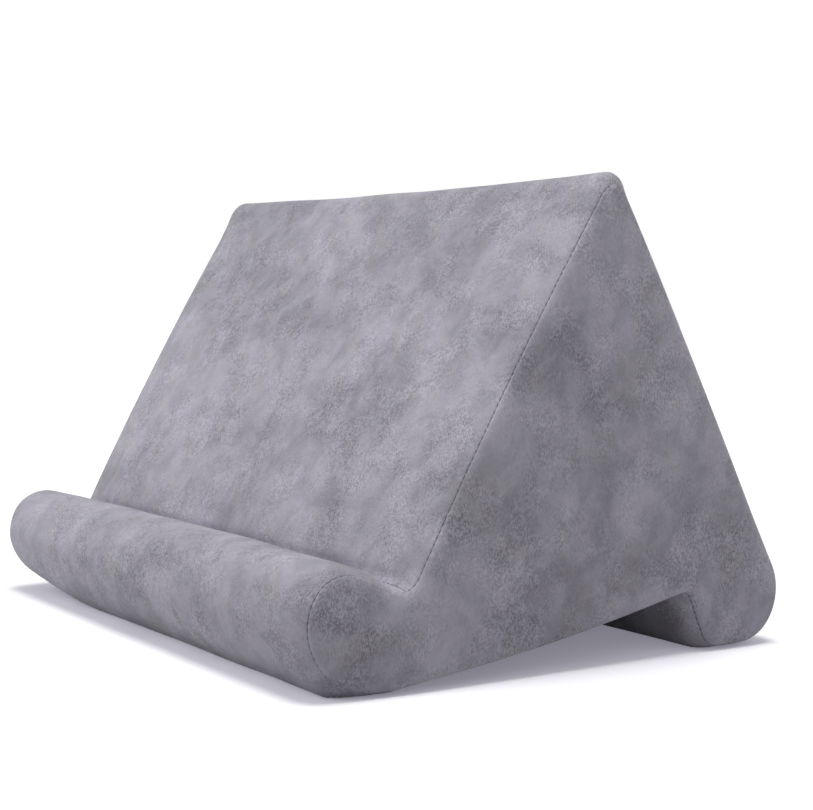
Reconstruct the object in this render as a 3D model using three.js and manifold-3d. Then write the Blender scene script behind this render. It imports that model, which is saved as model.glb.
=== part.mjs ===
// Tablet cushion stand: a foam wedge with a padded lip in front and a foot roll behind,
// in a sewn velour cover that closes with a zip low on the back.
// Millimetres, +Z up. X runs across the width and the lip faces -Y.
// The origin is on the floor under the middle of the cushion.

import * as THREE from 'three';
import { mergeVertices } from 'three/addons/utils/BufferGeometryUtils.js';
import Module from 'manifold-3d';

const wasm = await Module();
wasm.setup();

// Side outline, along the seam of the side panels
const seamWidth = 320;
const seamDepth = 267;
const seamLift = 1;
const lipRadius = 28.5;
const lipTopRadius = 16.5;
const lipTurn = 160;
const lipFlat = 10;
const ledgeSlope = 20;
const ledgeLength = 26;
const faceAngle = 60.8;
const faceLength = 208.5;
const ridgeRadius = 6;
const footRadius = 24.5;
const footFlat = 14;
const toeRadius = 11;
const toeLean = 27;
const baseRise = 10;
const creaseRadius = 6;
const faceBow = 2;
const backBow = 0.8;
const baseBow = 2;
const ledgeBow = 0.5;

// How the padded cover swells away from its seams
const panelRise = 3.5;
const restRise = 1.5;
const creaseRise = 1;
const edgeRound = 14;
const faceCrown = 2.5;
const ridgeSag = 2;
const ridgeFlare = 5;
const backCrown = 1.5;
const sideRise = 4.5;
const sideRound = 5;
const sideCrown = 2;
const crownShare = 0.45;

// Cloth, thread and the clearance between neighbours
const clothThickness = 2;
const threadRadius = 0.4;
const clearance = 0.3;

// Where the panels and the foam blocks are cut
const zipAboveFoot = 30;
const footBlockAboveFoot = 10;
const lipSeamBehindFlat = 11;

// Zip, along X on the back face
const zipLength = 250;
const zipWindowWidth = 12;
const zipWindowMargin = 5;
const tapeWidth = 14;
const tapeThickness = 0.6;
const tapeTail = 6;
const coilWidth = 2.5;
const coilHeight = 2.2;
const coilSlit = 1.2;
const stopLength = 2.5;
const stitchInset = 3;
const runningClearance = 0.35;
const sliderLength = 12;
const sliderWall = 1.45;
const sliderBlade = 1.2;
const sliderWebLength = 4;
const sliderEndGap = 0.5;
const barRadius = 0.6;
const earLength = 5;
const earWidth = 1;
const pullEyeWall = 0.75;
const pullEyeWidth = 2.6;
const pullLength = 24;
const pullWidth = 7;
const pullThickness = 1.2;
const pullTilt = 6;

// Directions and points in the side plane: x is the model's Y, y is its Z
const rad = THREE.MathUtils.degToRad;
const vec = (y, z) => new THREE.Vector2(y, z);
const heading = (degrees) => vec(Math.cos(rad(degrees)), Math.sin(rad(degrees)));
const along = (point, degrees, distance) => point.clone().addScaledVector(heading(degrees), distance);

function crossing(a, headingA, b, headingB) {
  const u = heading(headingA);
  const v = heading(headingB);
  const gap = b.clone().sub(a);
  return a.clone().addScaledVector(u, gap.cross(v) / u.cross(v));
}

// One stretch of the outline: a curve, its number of steps, and how far the cover
// rises above the seam (and swells at mid-width) at its start, its end and between.
function stretch(curve, steps, rise, swell = [0, 0], bump = 0) {
  return { curve, steps, rise, swell, bump };
}

function line(from, to, rise) {
  return stretch(new THREE.LineCurve(from, to), 1, rise);
}

// A long seam that the filling bows outward by a little
function bowed(from, to, bow, steps, rise, swell, bump) {
  const run = to.clone().sub(from).normalize();
  const control = from.clone().lerp(to, 0.5).addScaledVector(vec(-run.y, run.x), 2 * bow);
  return stretch(new THREE.QuadraticBezierCurve(from, control, to), steps, rise, swell, bump);
}

// Arc given by the headings of its outward normal; the outline runs clockwise.
function arc(centre, radius, from, to, steps, rise, swell) {
  const clockwise = from > to;
  const curve = new THREE.ArcCurve(centre.x, centre.y, radius, rad(from), rad(to), clockwise);
  return stretch(curve, steps, rise, swell);
}

// Rounded inside corner, in two halves, so that a seam can lie in its middle.
function crease(corner, headingIn, headingOut, rises) {
  const turn = headingOut - headingIn;
  const tangent = creaseRadius * Math.tan(rad(turn / 2));
  const centre = along(along(corner, headingIn, -tangent), headingIn + 90, creaseRadius);
  const first = headingIn - 90;
  const middle = first + turn / 2;
  return {
    start: along(corner, headingIn, -tangent),
    end: along(corner, headingOut, tangent),
    before: arc(centre, creaseRadius, first, middle, 3, [rises[0], creaseRise]),
    after: arc(centre, creaseRadius, middle, first + turn, 3, [creaseRise, rises[1]]),
  };
}

function sideOutline() {
  const lip = vec(-seamDepth / 2 + lipRadius, lipRadius + seamLift);
  const lipHeel = vec(lip.x + lipFlat, lip.y);
  const lipTop = along(lip, lipTurn, lipRadius - lipTopRadius);
  const ledgeStart = along(lipTop, 90 - ledgeSlope, lipTopRadius);
  const groove = along(ledgeStart, -ledgeSlope, ledgeLength);
  const apex = along(groove, faceAngle, faceLength);
  const foot = vec(seamDepth / 2 - footRadius, footRadius + seamLift);
  const toe = vec(foot.x - footFlat, toeRadius + seamLift);

  const toFoot = foot.clone().sub(apex);
  const backHeading = THREE.MathUtils.radToDeg(
    Math.atan2(toFoot.y, toFoot.x) + Math.asin(footRadius / toFoot.length()),
  );
  const backNormal = backHeading + 90;
  const backEnd = along(foot, backNormal, footRadius);
  const zip = along(backEnd, backHeading, -zipAboveFoot);
  const footCut = along(backEnd, backHeading, -footBlockAboveFoot);

  const wallHeading = 90 + toeLean;
  const toeEnd = along(toe, wallHeading + 90, toeRadius);
  const baseHeading = 180 + baseRise;
  const baseEnd = along(lipHeel, baseHeading + 90, lipRadius);
  const baseSeam = along(baseEnd, baseHeading, -lipSeamBehindFlat);
  const notchCorner = crossing(toeEnd, wallHeading, baseEnd, baseHeading);

  const ridgeTurn = faceAngle - backHeading;
  const ridgeTangent = ridgeRadius * Math.tan(rad(ridgeTurn / 2));
  const faceTop = along(apex, faceAngle, -ridgeTangent);
  const ridge = along(faceTop, faceAngle - 90, ridgeRadius);
  const backTop = along(apex, backHeading, ridgeTangent);

  const grooveCrease = crease(groove, -ledgeSlope, faceAngle, [panelRise, panelRise]);
  const notchCrease = crease(notchCorner, wallHeading, baseHeading, [panelRise, panelRise]);
  const sag = [-ridgeSag, -ridgeSag];

  return {
    apex,
    zip,
    backNormal,
    crownCorners: [groove, apex, notchCorner],
    main: [
      grooveCrease.after,
      bowed(grooveCrease.end, faceTop, faceBow, 6, [panelRise, panelRise], [0, -ridgeSag], faceCrown),
      arc(ridge, ridgeRadius, faceAngle + 90, backNormal, 5, [panelRise, panelRise], sag),
      bowed(backTop, zip, backBow, 6, [panelRise, panelRise], [-ridgeSag, 0], backCrown),
    ],
    heel: [line(zip, footCut, [panelRise, panelRise])],
    foot: [
      line(footCut, backEnd, [panelRise, panelRise]),
      arc(foot, footRadius, backNormal, -90, 9, [panelRise, restRise]),
      line(vec(foot.x, seamLift), vec(toe.x, seamLift), [restRise, restRise]),
      arc(toe, toeRadius, 270, wallHeading + 90, 4, [restRise, panelRise]),
      line(toeEnd, notchCrease.start, [panelRise, panelRise]),
      notchCrease.before,
    ],
    base: [
      notchCrease.after,
      bowed(notchCrease.end, baseSeam, baseBow, 5, [panelRise, restRise]),
    ],
    lip: [
      line(baseSeam, baseEnd, [restRise, restRise]),
      arc(lipHeel, lipRadius, 270 + baseRise, 270, 1, [restRise, restRise]),
      line(vec(lipHeel.x, seamLift), vec(lip.x, seamLift), [restRise, restRise]),
      arc(lip, lipRadius, 270, lipTurn, 10, [restRise, panelRise]),
      arc(lipTop, lipTopRadius, lipTurn, 90 - ledgeSlope, 6, [panelRise, panelRise]),
      bowed(ledgeStart, grooveCrease.start, ledgeBow, 3, [panelRise, panelRise]),
      grooveCrease.before,
    ],
  };
}

// Points of a run of stretches, each with its outward normal, rise and swell.
// The two ends draw back by half the clearance.
function samples(stretches, drawBack = clearance / 2) {
  const found = [];
  stretches.forEach(({ curve, steps, rise, swell, bump }, index) => {
    for (let step = index === 0 ? 0 : 1; step <= steps; step += 1) {
      const t = step / steps;
      const tangent = curve.getTangent(t);
      found.push({
        point: curve.getPoint(t),
        tangent,
        normal: vec(-tangent.y, tangent.x),
        rise: THREE.MathUtils.lerp(rise[0], rise[1], t),
        swell: THREE.MathUtils.lerp(swell[0], swell[1], t) + bump * 4 * t * (1 - t),
      });
    }
  });
  found[0].point.addScaledVector(found[0].tangent, drawBack);
  found.at(-1).point.addScaledVector(found.at(-1).tangent, -drawBack);
  return found;
}

const outline = sideOutline();

// Height of the cover above the seam at one place across the width
function coverHeight(sample, x) {
  const fromSeam = Math.min(seamWidth / 2 - Math.abs(x), edgeRound);
  const edge = Math.sin((Math.PI / 2) * (fromSeam / edgeRound));
  const middle = 1 - (2 * x / seamWidth) ** 2;
  return sample.rise * edge + sample.swell * middle;
}

// The cushion widens a little from the floor up to its ridge
function flared(x, y, z) {
  const widening = ridgeFlare * (z / outline.apex.y);
  return new THREE.Vector3(x * (1 + widening / (seamWidth / 2)), y, z);
}

// A sample pushed out along its normal, at one place across the width, never below the floor
function raised(sample, x, height) {
  const { x: y, y: z } = sample.point.clone().addScaledVector(sample.normal, height);
  return flared(x, y, Math.max(z, 0));
}

// Places across the width: close together near the seams, wider between
function widthStations(endGap) {
  const half = seamWidth / 2;
  const nearSeam = [endGap, edgeRound / 4, edgeRound / 2, edgeRound].map((inward) => half - inward);
  const flatHalf = half - edgeRound;
  const right = [...nearSeam, flatHalf / 2, 0];
  return [...right.slice(0, -1).map((x) => -x), ...right.reverse()];
}

function geometryFrom(vertices, triangles) {
  const geometry = new THREE.BufferGeometry();
  geometry.setFromPoints(vertices);
  geometry.setIndex(triangles.flat());
  geometry.computeVertexNormals();
  return geometry;
}

function turnedOutward(vertices, triangles) {
  const volume = triangles.reduce(
    (sum, [a, b, c]) => sum + vertices[a].dot(vertices[b].clone().cross(vertices[c])),
    0,
  );
  return volume > 0 ? triangles : triangles.map(([a, b, c]) => [a, c, b]);
}

// Triangles of a flat cap, in the loop's own direction. A crown loop inside it may stand proud.
function capTriangles(loop, loopStart, crown, crownStart) {
  const flat = (points) => points.map((p) => vec(p.y, p.z));
  const contour = flat(loop);
  const holes = crown.length ? [flat(crown)] : [];
  const number = (i) => (i < loop.length ? loopStart + i : crownStart + i - loop.length);
  const faces = THREE.ShapeUtils.triangulateShape(contour, holes);
  const all = [...contour, ...flat(crown)];
  const sign = Math.sign(THREE.ShapeUtils.area(contour));
  const oriented = faces.map(([a, b, c]) => {
    const matches = Math.sign(THREE.ShapeUtils.area([all[a], all[b], all[c]])) === sign;
    return matches ? [a, b, c] : [a, c, b];
  });
  const crownMatches = Math.sign(THREE.ShapeUtils.area(flat(crown))) === sign;
  for (let i = 1; i + 1 < crown.length; i += 1) {
    const fan = [loop.length, loop.length + i, loop.length + i + 1];
    oriented.push(crownMatches ? fan : [fan[0], fan[2], fan[1]]);
  }
  return oriented.map((face) => face.map(number));
}

// Triangles of the narrow end of a sheet, whose loop goes out along one face and back along the other
function sheetEndTriangles(count, loopStart) {
  const triangles = [];
  for (let i = 0; i + 1 < count / 2; i += 1) {
    const back = count - 1 - i;
    triangles.push([i, i + 1, back - 1], [i, back - 1, back]);
  }
  return triangles.map((face) => face.map((corner) => corner + loopStart));
}

// Closed solid through a row of loops with equal counts. A ring closes on itself, and
// anything else is capped at both ends.
function loft(loops, { ring = false, sheet = false, firstCrown = [], lastCrown = [] } = {}) {
  const count = loops[0].length;
  const vertices = loops.flat();
  const triangles = [];
  const rows = ring ? loops.length : loops.length - 1;
  for (let row = 0; row < rows; row += 1) {
    const here = row * count;
    const next = ((row + 1) % loops.length) * count;
    for (let i = 0; i < count; i += 1) {
      const j = (i + 1) % count;
      triangles.push([here + i, here + j, next + j]);
      triangles.push([here + i, next + j, next + i]);
    }
  }
  if (!ring) {
    const lastStart = (loops.length - 1) * count;
    const crownStart = vertices.length;
    vertices.push(...firstCrown, ...lastCrown);
    const capAt = (loop, start, crown, from) => (
      sheet ? sheetEndTriangles(count, start) : capTriangles(loop, start, crown, from)
    );
    const first = capAt(loops[0], 0, firstCrown, crownStart);
    triangles.push(...first.map(([a, b, c]) => [a, c, b]));
    triangles.push(...capAt(loops.at(-1), lastStart, lastCrown, crownStart + firstCrown.length));
  }
  return geometryFrom(vertices, turnedOutward(vertices, triangles));
}

// Booleans on closed geometries
function solidOf(geometry) {
  const bare = geometry.clone();
  bare.deleteAttribute('normal');
  bare.deleteAttribute('uv');
  const merged = mergeVertices(bare);
  const mesh = new wasm.Mesh({
    numProp: 3,
    vertProperties: new Float32Array(merged.attributes.position.array),
    triVerts: new Uint32Array(merged.index.array),
  });
  return new wasm.Manifold(mesh);
}

function geometryOf(solid) {
  const { vertProperties, triVerts, numProp } = solid.getMesh();
  const geometry = new THREE.BufferGeometry();
  const positions = [];
  for (let i = 0; i < vertProperties.length; i += numProp) {
    positions.push(vertProperties[i], vertProperties[i + 1], vertProperties[i + 2]);
  }
  geometry.setAttribute('position', new THREE.Float32BufferAttribute(positions, 3));
  geometry.setIndex(new THREE.BufferAttribute(triVerts, 1));
  geometry.computeVertexNormals();
  return geometry;
}

const joined = (...geometries) => geometryOf(geometries.map(solidOf).reduce((a, b) => a.add(b)));
const cut = (geometry, tool) => geometryOf(solidOf(geometry).subtract(solidOf(tool)));

// Box between two corners
function box([x0, y0, z0], [x1, y1, z1]) {
  const geometry = new THREE.BoxGeometry(x1 - x0, y1 - y0, z1 - z0);
  return geometry.translate((x0 + x1) / 2, (y0 + y1) / 2, (z0 + z1) / 2);
}

// Materials
function finish(color, roughness, metalness = 0) {
  return new THREE.MeshStandardMaterial({ color, roughness, metalness });
}

const velour = finish(0x8f8c96, 0.95);
const foam = finish(0xe6e0cf, 1);
const tapeCloth = finish(0x77747e, 0.9);
const nylon = finish(0x6b6872, 0.55);
const zinc = finish(0xa9abb0, 0.35, 0.9);
const thread = finish(0x7b7882, 0.8);

const stand = new THREE.Group();

function addTo(group, name, geometry, material) {
  const mesh = new THREE.Mesh(geometry, material);
  mesh.name = name;
  group.add(mesh);
}

// Zip frame: its z is the back face's outward normal and its y runs down the slope
const zipFrame = new THREE.Group();
const zipSeat = along(outline.zip, outline.backNormal, panelRise);
zipFrame.position.set(0, zipSeat.x, zipSeat.y);
zipFrame.rotation.x = -rad(90 - outline.backNormal);
zipFrame.updateMatrix();
stand.add(zipFrame);

// Levels of the zip below and above the cover's outer face
const tapeTop = -clothThickness - clearance;
const tapeBottom = tapeTop - tapeThickness;
const coilBottom = tapeTop + clearance;
const coilTop = coilBottom + coilHeight;
const coilEdge = coilSlit / 2 + coilWidth;
const bladeTopUnder = coilTop + runningClearance;
const bladeTop = bladeTopUnder + sliderBlade;
const bladeBottomOver = tapeBottom - runningClearance;
const bladeBottom = bladeBottomOver - sliderBlade;
const windowHalfLength = zipLength / 2 + zipWindowMargin;
const tapeHalfLength = windowHalfLength + tapeTail;

// A cover panel: a sheet of even thickness over its run of the outline
function panel(stretches) {
  const run = samples(stretches);
  const loops = widthStations(clearance / 2).map((x) => {
    const outer = run.map((sample) => raised(sample, x, coverHeight(sample, x)));
    const inner = run.map((sample) => raised(sample, x, coverHeight(sample, x) - clothThickness));
    return [...outer, ...inner.reverse()];
  });
  return loft(loops, { sheet: true });
}

function buildCover() {
  const half = [windowHalfLength, zipWindowWidth / 2, clothThickness * 2];
  const zipWindow = box(half.map((size) => -size), half).applyMatrix4(zipFrame.matrix);
  addTo(stand, 'main_panel', cut(panel(outline.main), zipWindow), velour);
  addTo(stand, 'foot_panel', cut(panel([...outline.heel, ...outline.foot]), zipWindow), velour);
  addTo(stand, 'base_panel', panel(outline.base), velour);
  addTo(stand, 'lip_panel', panel(outline.lip), velour);
}

const wholeOutline = [...outline.main, ...outline.heel, ...outline.foot, ...outline.base, ...outline.lip];

// End panel of the cover, softly rounded at its seam and crowned over the wedge
function sidePanel(side) {
  const run = samples(wholeOutline, 0).slice(0, -1);
  const seam = clearance / 2;
  const rim = seam + clothThickness / 2;
  const ringAt = (inset, outward) => run.map(
    (sample) => raised(sample, side * (seamWidth / 2 + outward), -inset),
  );
  const rounded = (degrees) => {
    const { x: level, y: height } = heading(degrees);
    return ringAt(sideRound * (1 - level), rim + (sideRise - rim) * height);
  };
  const corners = outline.crownCorners;
  const middle = corners.reduce((sum, corner) => sum.add(corner), vec(0, 0)).divideScalar(corners.length);
  const crownAt = (outward) => corners.map((corner) => {
    const place = middle.clone().lerp(corner, crownShare);
    return flared(side * (seamWidth / 2 + outward), place.x, place.y);
  });
  const loops = [
    ringAt(sideRound, sideRise - clothThickness),
    ringAt(0, seam),
    rounded(0),
    rounded(45),
    rounded(90),
  ];
  return loft(loops, {
    firstCrown: crownAt(sideRise + sideCrown - clothThickness),
    lastCrown: crownAt(sideRise + sideCrown),
  });
}

const threadSides = [0, 60, 120, 180, 240, 300].map(heading);

// Thread of a side seam: a closed ring lying in the crease of the seam
function seamThread(side) {
  const run = samples(wholeOutline, 0).slice(0, -1);
  const height = clearance + threadRadius;
  const loops = run.map((sample) => threadSides.map((turn) => {
    const x = side * seamWidth / 2 + turn.x * threadRadius;
    return raised(sample, x, height + turn.y * threadRadius);
  }));
  return loft(loops, { ring: true });
}

// Straight thread along X, centred on a point of the side plane
function crossThread(y, z, halfLength) {
  const loopAt = (x) => threadSides.map(
    (turn) => new THREE.Vector3(x, y + turn.x * threadRadius, z + turn.y * threadRadius),
  );
  return loft([loopAt(-halfLength), loopAt(halfLength)]);
}

function buildSides() {
  [['right', 1], ['left', -1]].forEach(([name, side]) => {
    addTo(stand, `side_panel_${name}`, sidePanel(side), velour);
    addTo(stand, `seam_thread_${name}`, seamThread(side), thread);
  });
  const crossSeams = { groove: outline.main, base: outline.lip, notch: outline.base };
  Object.entries(crossSeams).forEach(([name, stretches]) => {
    const seam = samples(stretches, 0)[0];
    const height = seam.rise + clearance + threadRadius;
    const place = seam.point.clone().addScaledVector(seam.normal, height);
    const geometry = crossThread(place.x, place.y, seamWidth / 2 - edgeRound);
    addTo(stand, `${name}_seam_thread`, geometry, thread);
  });
}

// A foam block fills its part of the cover, cut straight where it meets the next block.
// Its neighbours' loops run the other way, so that both sides of a cut have the same facets.
function foamBlock(runs, backwards = false) {
  const forward = runs.flatMap((stretches) => samples(stretches));
  const run = backwards ? forward.reverse() : forward;
  const seam = clearance / 2;
  const backed = clothThickness + clearance;
  const loops = widthStations(seam).map(
    (x) => run.map((sample) => raised(sample, x, coverHeight(sample, x) - backed)),
  );
  const endAt = (side) => run.map((sample) => raised(
    sample,
    side * (seamWidth / 2 + sideRise - clothThickness - clearance),
    -sideRound - clearance,
  ));
  return loft([endAt(-1), ...loops, endAt(1)]);
}

function buildFoam() {
  const trough = box(
    [-tapeHalfLength - clearance, -coilSlit - tapeWidth, bladeBottom - clearance],
    [tapeHalfLength + clearance, coilSlit + tapeWidth, panelRise],
  ).applyMatrix4(zipFrame.matrix);
  const wedge = foamBlock([[...outline.main, ...outline.heel], outline.base], true);
  addTo(stand, 'wedge_foam', cut(wedge, trough), foam);
  addTo(stand, 'lip_foam', foamBlock([outline.lip]), foam);
  addTo(stand, 'foot_foam', foamBlock([outline.foot]), foam);
}

// Tape, coil half, end stop and topstitching on one side of the zip
function buildZipSide(name, side) {
  const slit = coilSlit / 2;
  const across = (near, far) => [Math.min(side * near, side * far), Math.max(side * near, side * far)];
  const strip = (x0, x1, [y0, y1], z0, z1) => box([x0, y0, z0], [x1, y1, z1]);
  const tapeY = across(slit, slit + tapeWidth);
  const coilY = across(slit, coilEdge);
  const end = zipLength / 2;
  const tape = strip(-tapeHalfLength, tapeHalfLength, tapeY, tapeBottom, tapeTop);
  const coil = strip(-end, end, coilY, coilBottom, coilTop);
  const stop = strip(end + clearance, end + clearance + stopLength, coilY, coilBottom, coilTop);
  const stitchY = side * (zipWindowWidth / 2 + stitchInset);
  const stitch = crossThread(stitchY, clearance + threadRadius, windowHalfLength);
  addTo(zipFrame, `zip_tape_${name}`, tape, tapeCloth);
  addTo(zipFrame, `zip_coil_${name}`, coil, nylon);
  addTo(zipFrame, `zip_top_stop_${name}`, stop, zinc);
  addTo(zipFrame, `zip_thread_${name}`, stitch, thread);
}

// Flat tab with a round tip, running along -X from its neck
function roundTab(neckX) {
  const tipRadius = pullWidth / 2;
  const shape = new THREE.Shape();
  shape.moveTo(neckX, -tipRadius);
  shape.lineTo(neckX, tipRadius);
  shape.absarc(tipRadius - pullLength, 0, tipRadius, rad(90), rad(270), false);
  const settings = { depth: pullThickness, bevelEnabled: false, curveSegments: 8 };
  return new THREE.ExtrudeGeometry(shape, settings).translate(0, 0, -pullThickness / 2);
}

// Bar across the slider, along the zip frame's y
function bar(radius, length, z) {
  return new THREE.CylinderGeometry(radius, radius, length, 16).translate(0, 0, z);
}

function buildSlider() {
  const halfLength = sliderLength / 2;
  const innerHalf = coilEdge + runningClearance;
  const outerHalf = innerHalf + sliderWall;
  const webHalf = coilSlit / 2 - runningClearance;
  const earInner = pullEyeWidth / 2 + clearance;
  const earOuter = earInner + earWidth;
  const barZ = bladeTop + clearance + runningClearance + barRadius + pullEyeWall;
  const earTop = barZ + barRadius + clearance;
  const closedX = zipLength / 2 - sliderEndGap - halfLength;

  const plate = (y0, y1, z0, z1, half = halfLength) => box([-half, y0, z0], [half, y1, z1]);
  const slider = joined(
    plate(-outerHalf, outerHalf, bladeTopUnder, bladeTop),
    plate(-outerHalf, outerHalf, bladeBottom, bladeBottomOver),
    plate(innerHalf, outerHalf, tapeTop + runningClearance, bladeTop),
    plate(-outerHalf, -innerHalf, tapeTop + runningClearance, bladeTop),
    plate(-webHalf, webHalf, bladeBottom, bladeTop, sliderWebLength / 2),
    plate(earInner, earOuter, bladeTopUnder, earTop, earLength / 2),
    plate(-earOuter, -earInner, bladeTopUnder, earTop, earLength / 2),
    bar(barRadius, earOuter * 2, barZ),
  );

  const eyeRadius = barRadius + runningClearance;
  const eyeOuter = eyeRadius + pullEyeWall;
  const neckEnd = -earLength / 2 - clearance - pullThickness;
  const tongue = box(
    [neckEnd - clearance, -pullEyeWidth / 2, -pullThickness / 2],
    [0, pullEyeWidth / 2, pullThickness / 2],
  );
  const eye = bar(eyeOuter, pullEyeWidth, 0);
  const pull = cut(joined(eye, tongue, roundTab(neckEnd)), bar(eyeRadius, pullWidth * 2, 0));

  const carriage = new THREE.Group();
  carriage.position.x = closedX;
  zipFrame.add(carriage);
  addTo(carriage, 'zip_slider', slider, zinc);
  const hinge = new THREE.Group();
  hinge.position.z = barZ;
  hinge.rotation.y = -rad(pullTilt);
  carriage.add(hinge);
  addTo(hinge, 'zip_pull', pull, zinc);
}

function buildZip() {
  buildZipSide('upper', -1);
  buildZipSide('lower', 1);
  const end = -zipLength / 2 - clearance;
  const bottomStop = box([end - stopLength, -coilEdge, coilBottom], [end, coilEdge, coilTop]);
  addTo(zipFrame, 'zip_bottom_stop', bottomStop, zinc);
  buildSlider();
}

buildFoam();
buildCover();
buildSides();
buildZip();

export default stand;
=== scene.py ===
"""Looks of the tablet cushion stand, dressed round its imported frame.

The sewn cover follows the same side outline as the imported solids. Each panel is a thin shell whose
edges roll over and turn in at the seams, swollen by a cloth simulation of the stuffed cover. The
foam, the stitches and the zip at the back are built inside and on it. Everything is in metres.
"""

import logging
import math
from collections.abc import Sequence
from dataclasses import dataclass
from enum import Enum

import bmesh
import bpy
import numpy as np
from mathutils import Matrix, Vector, geometry, noise


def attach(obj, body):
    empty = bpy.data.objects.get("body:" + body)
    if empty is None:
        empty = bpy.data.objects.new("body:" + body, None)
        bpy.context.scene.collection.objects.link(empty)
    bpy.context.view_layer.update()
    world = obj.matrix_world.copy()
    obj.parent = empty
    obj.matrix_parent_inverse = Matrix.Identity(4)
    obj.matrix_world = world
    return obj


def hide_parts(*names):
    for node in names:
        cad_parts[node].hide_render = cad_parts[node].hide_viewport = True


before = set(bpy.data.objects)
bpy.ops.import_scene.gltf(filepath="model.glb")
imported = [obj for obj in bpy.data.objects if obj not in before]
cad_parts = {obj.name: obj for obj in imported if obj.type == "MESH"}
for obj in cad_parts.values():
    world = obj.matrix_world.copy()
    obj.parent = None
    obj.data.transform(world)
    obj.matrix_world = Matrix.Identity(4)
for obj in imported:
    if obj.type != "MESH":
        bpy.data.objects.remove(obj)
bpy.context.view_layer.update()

LOG = logging.getLogger("cushion_stand")
MM = 0.001
FINE_MERGE = 1e-9
MEMBRANE_MERGE = 1e-7
Array = np.ndarray
Material = bpy.types.Material
Node = bpy.types.Node
NodeTree = bpy.types.NodeTree
Object = bpy.types.Object
Socket = bpy.types.NodeSocket
Colour = tuple[float, float, float]
Corner = tuple[float, float, float]
Pair = tuple[float, float]
Faces = list[tuple[int, ...]]


class Side(Enum):
    """The two ends of the cushion, with the direction along X."""

    RIGHT = 1
    LEFT = -1


class Slot(Enum):
    """The material slots of the pieces."""

    COVER = "cover"
    FOAM = "foam"
    TAPE = "zip_tape"
    COIL = "zip_coil"
    METAL = "zip_metal"
    THREAD = "thread"


class Panel(Enum):
    """The wrap panels of the cover, by the node each one stands for."""

    MAIN = "main_panel"
    FOOT = "foot_panel"
    BASE = "base_panel"
    LIP = "lip_panel"


def linear(red: float, green: float, blue: float) -> Colour:
    """Turns a display colour from 0 to 255 into linear light from 0 to 1."""
    shares = [value / 255 for value in (red, green, blue)]
    return tuple(s / 12.92 if s <= 0.04045 else ((s + 0.055) / 1.055) ** 2.4 for s in shares)


def clamped(values: Array) -> Array:
    """Keeps values within 0 and 1."""
    return np.clip(values, 0, 1)


def eased(share: Array) -> Array:
    """Makes a share from 0 to 1 start and end gently."""
    return share * share * (3 - 2 * share)


def bell(distance: Array, reach: float) -> Array:
    """Falls smoothly from 1 at no distance towards 0 past the reach."""
    return np.exp(-((distance / reach) ** 2))


def unit(vectors: Array) -> Array:
    """Gives every vector the length 1."""
    return vectors / np.linalg.norm(vectors, axis=-1, keepdims=True)


def link(name: str, data: bpy.types.ID) -> Object:
    """Puts a mesh, curve, lamp or camera into the scene as an object."""
    made = bpy.data.objects.new(name, data)
    bpy.context.scene.collection.objects.link(made)
    return made


def mesh_object(name: str, vertices: Array, faces: Sequence[Sequence[int]]) -> Object:
    """Makes a smooth-shaded mesh object in the scene.

    Args:
        name: The piece's name.
        vertices: Points, one row each.
        faces: Corner numbers of each face.

    Returns:
        The new object.
    """
    mesh = bpy.data.meshes.new(name)
    mesh.from_pydata(np.asarray(vertices).tolist(), [], [list(map(int, face)) for face in faces])
    mesh.update()
    mesh.shade_smooth()
    return link(name, mesh)


def grid_faces(rows: int, columns: int, ring: bool = False, loop: bool = False) -> Faces:
    """Lists the quads of a grid of points stored row by row.

    Args:
        rows: Number of rows.
        columns: Number of points in a row.
        ring: Whether each row closes on itself.
        loop: Whether the last row joins the first.

    Returns:
        Corner numbers of each quad.
    """
    faces = []
    for row in range(rows if loop else rows - 1):
        here, there = row * columns, (row + 1) % rows * columns
        for column in range(columns if ring else columns - 1):
            beside = (column + 1) % columns
            faces.append((here + column, here + beside, there + beside, there + column))
    return faces


def shifted(faces: Faces, start: int) -> Faces:
    """Moves the corner numbers of faces on by that many."""
    return [tuple(start + corner for corner in face) for face in faces]


def tidy_mesh(piece: Object, merge: float = 1e-6) -> Object:
    """Merges doubled points and turns all faces outward.

    Args:
        piece: The mesh object.
        merge: Points closer than this become one.

    Returns:
        The same object.
    """
    work = bmesh.new()
    work.from_mesh(piece.data)
    bmesh.ops.remove_doubles(work, verts=work.verts, dist=merge)
    bmesh.ops.recalc_face_normals(work, faces=work.faces)
    work.to_mesh(piece.data)
    work.free()
    return piece


# Finishes


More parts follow.
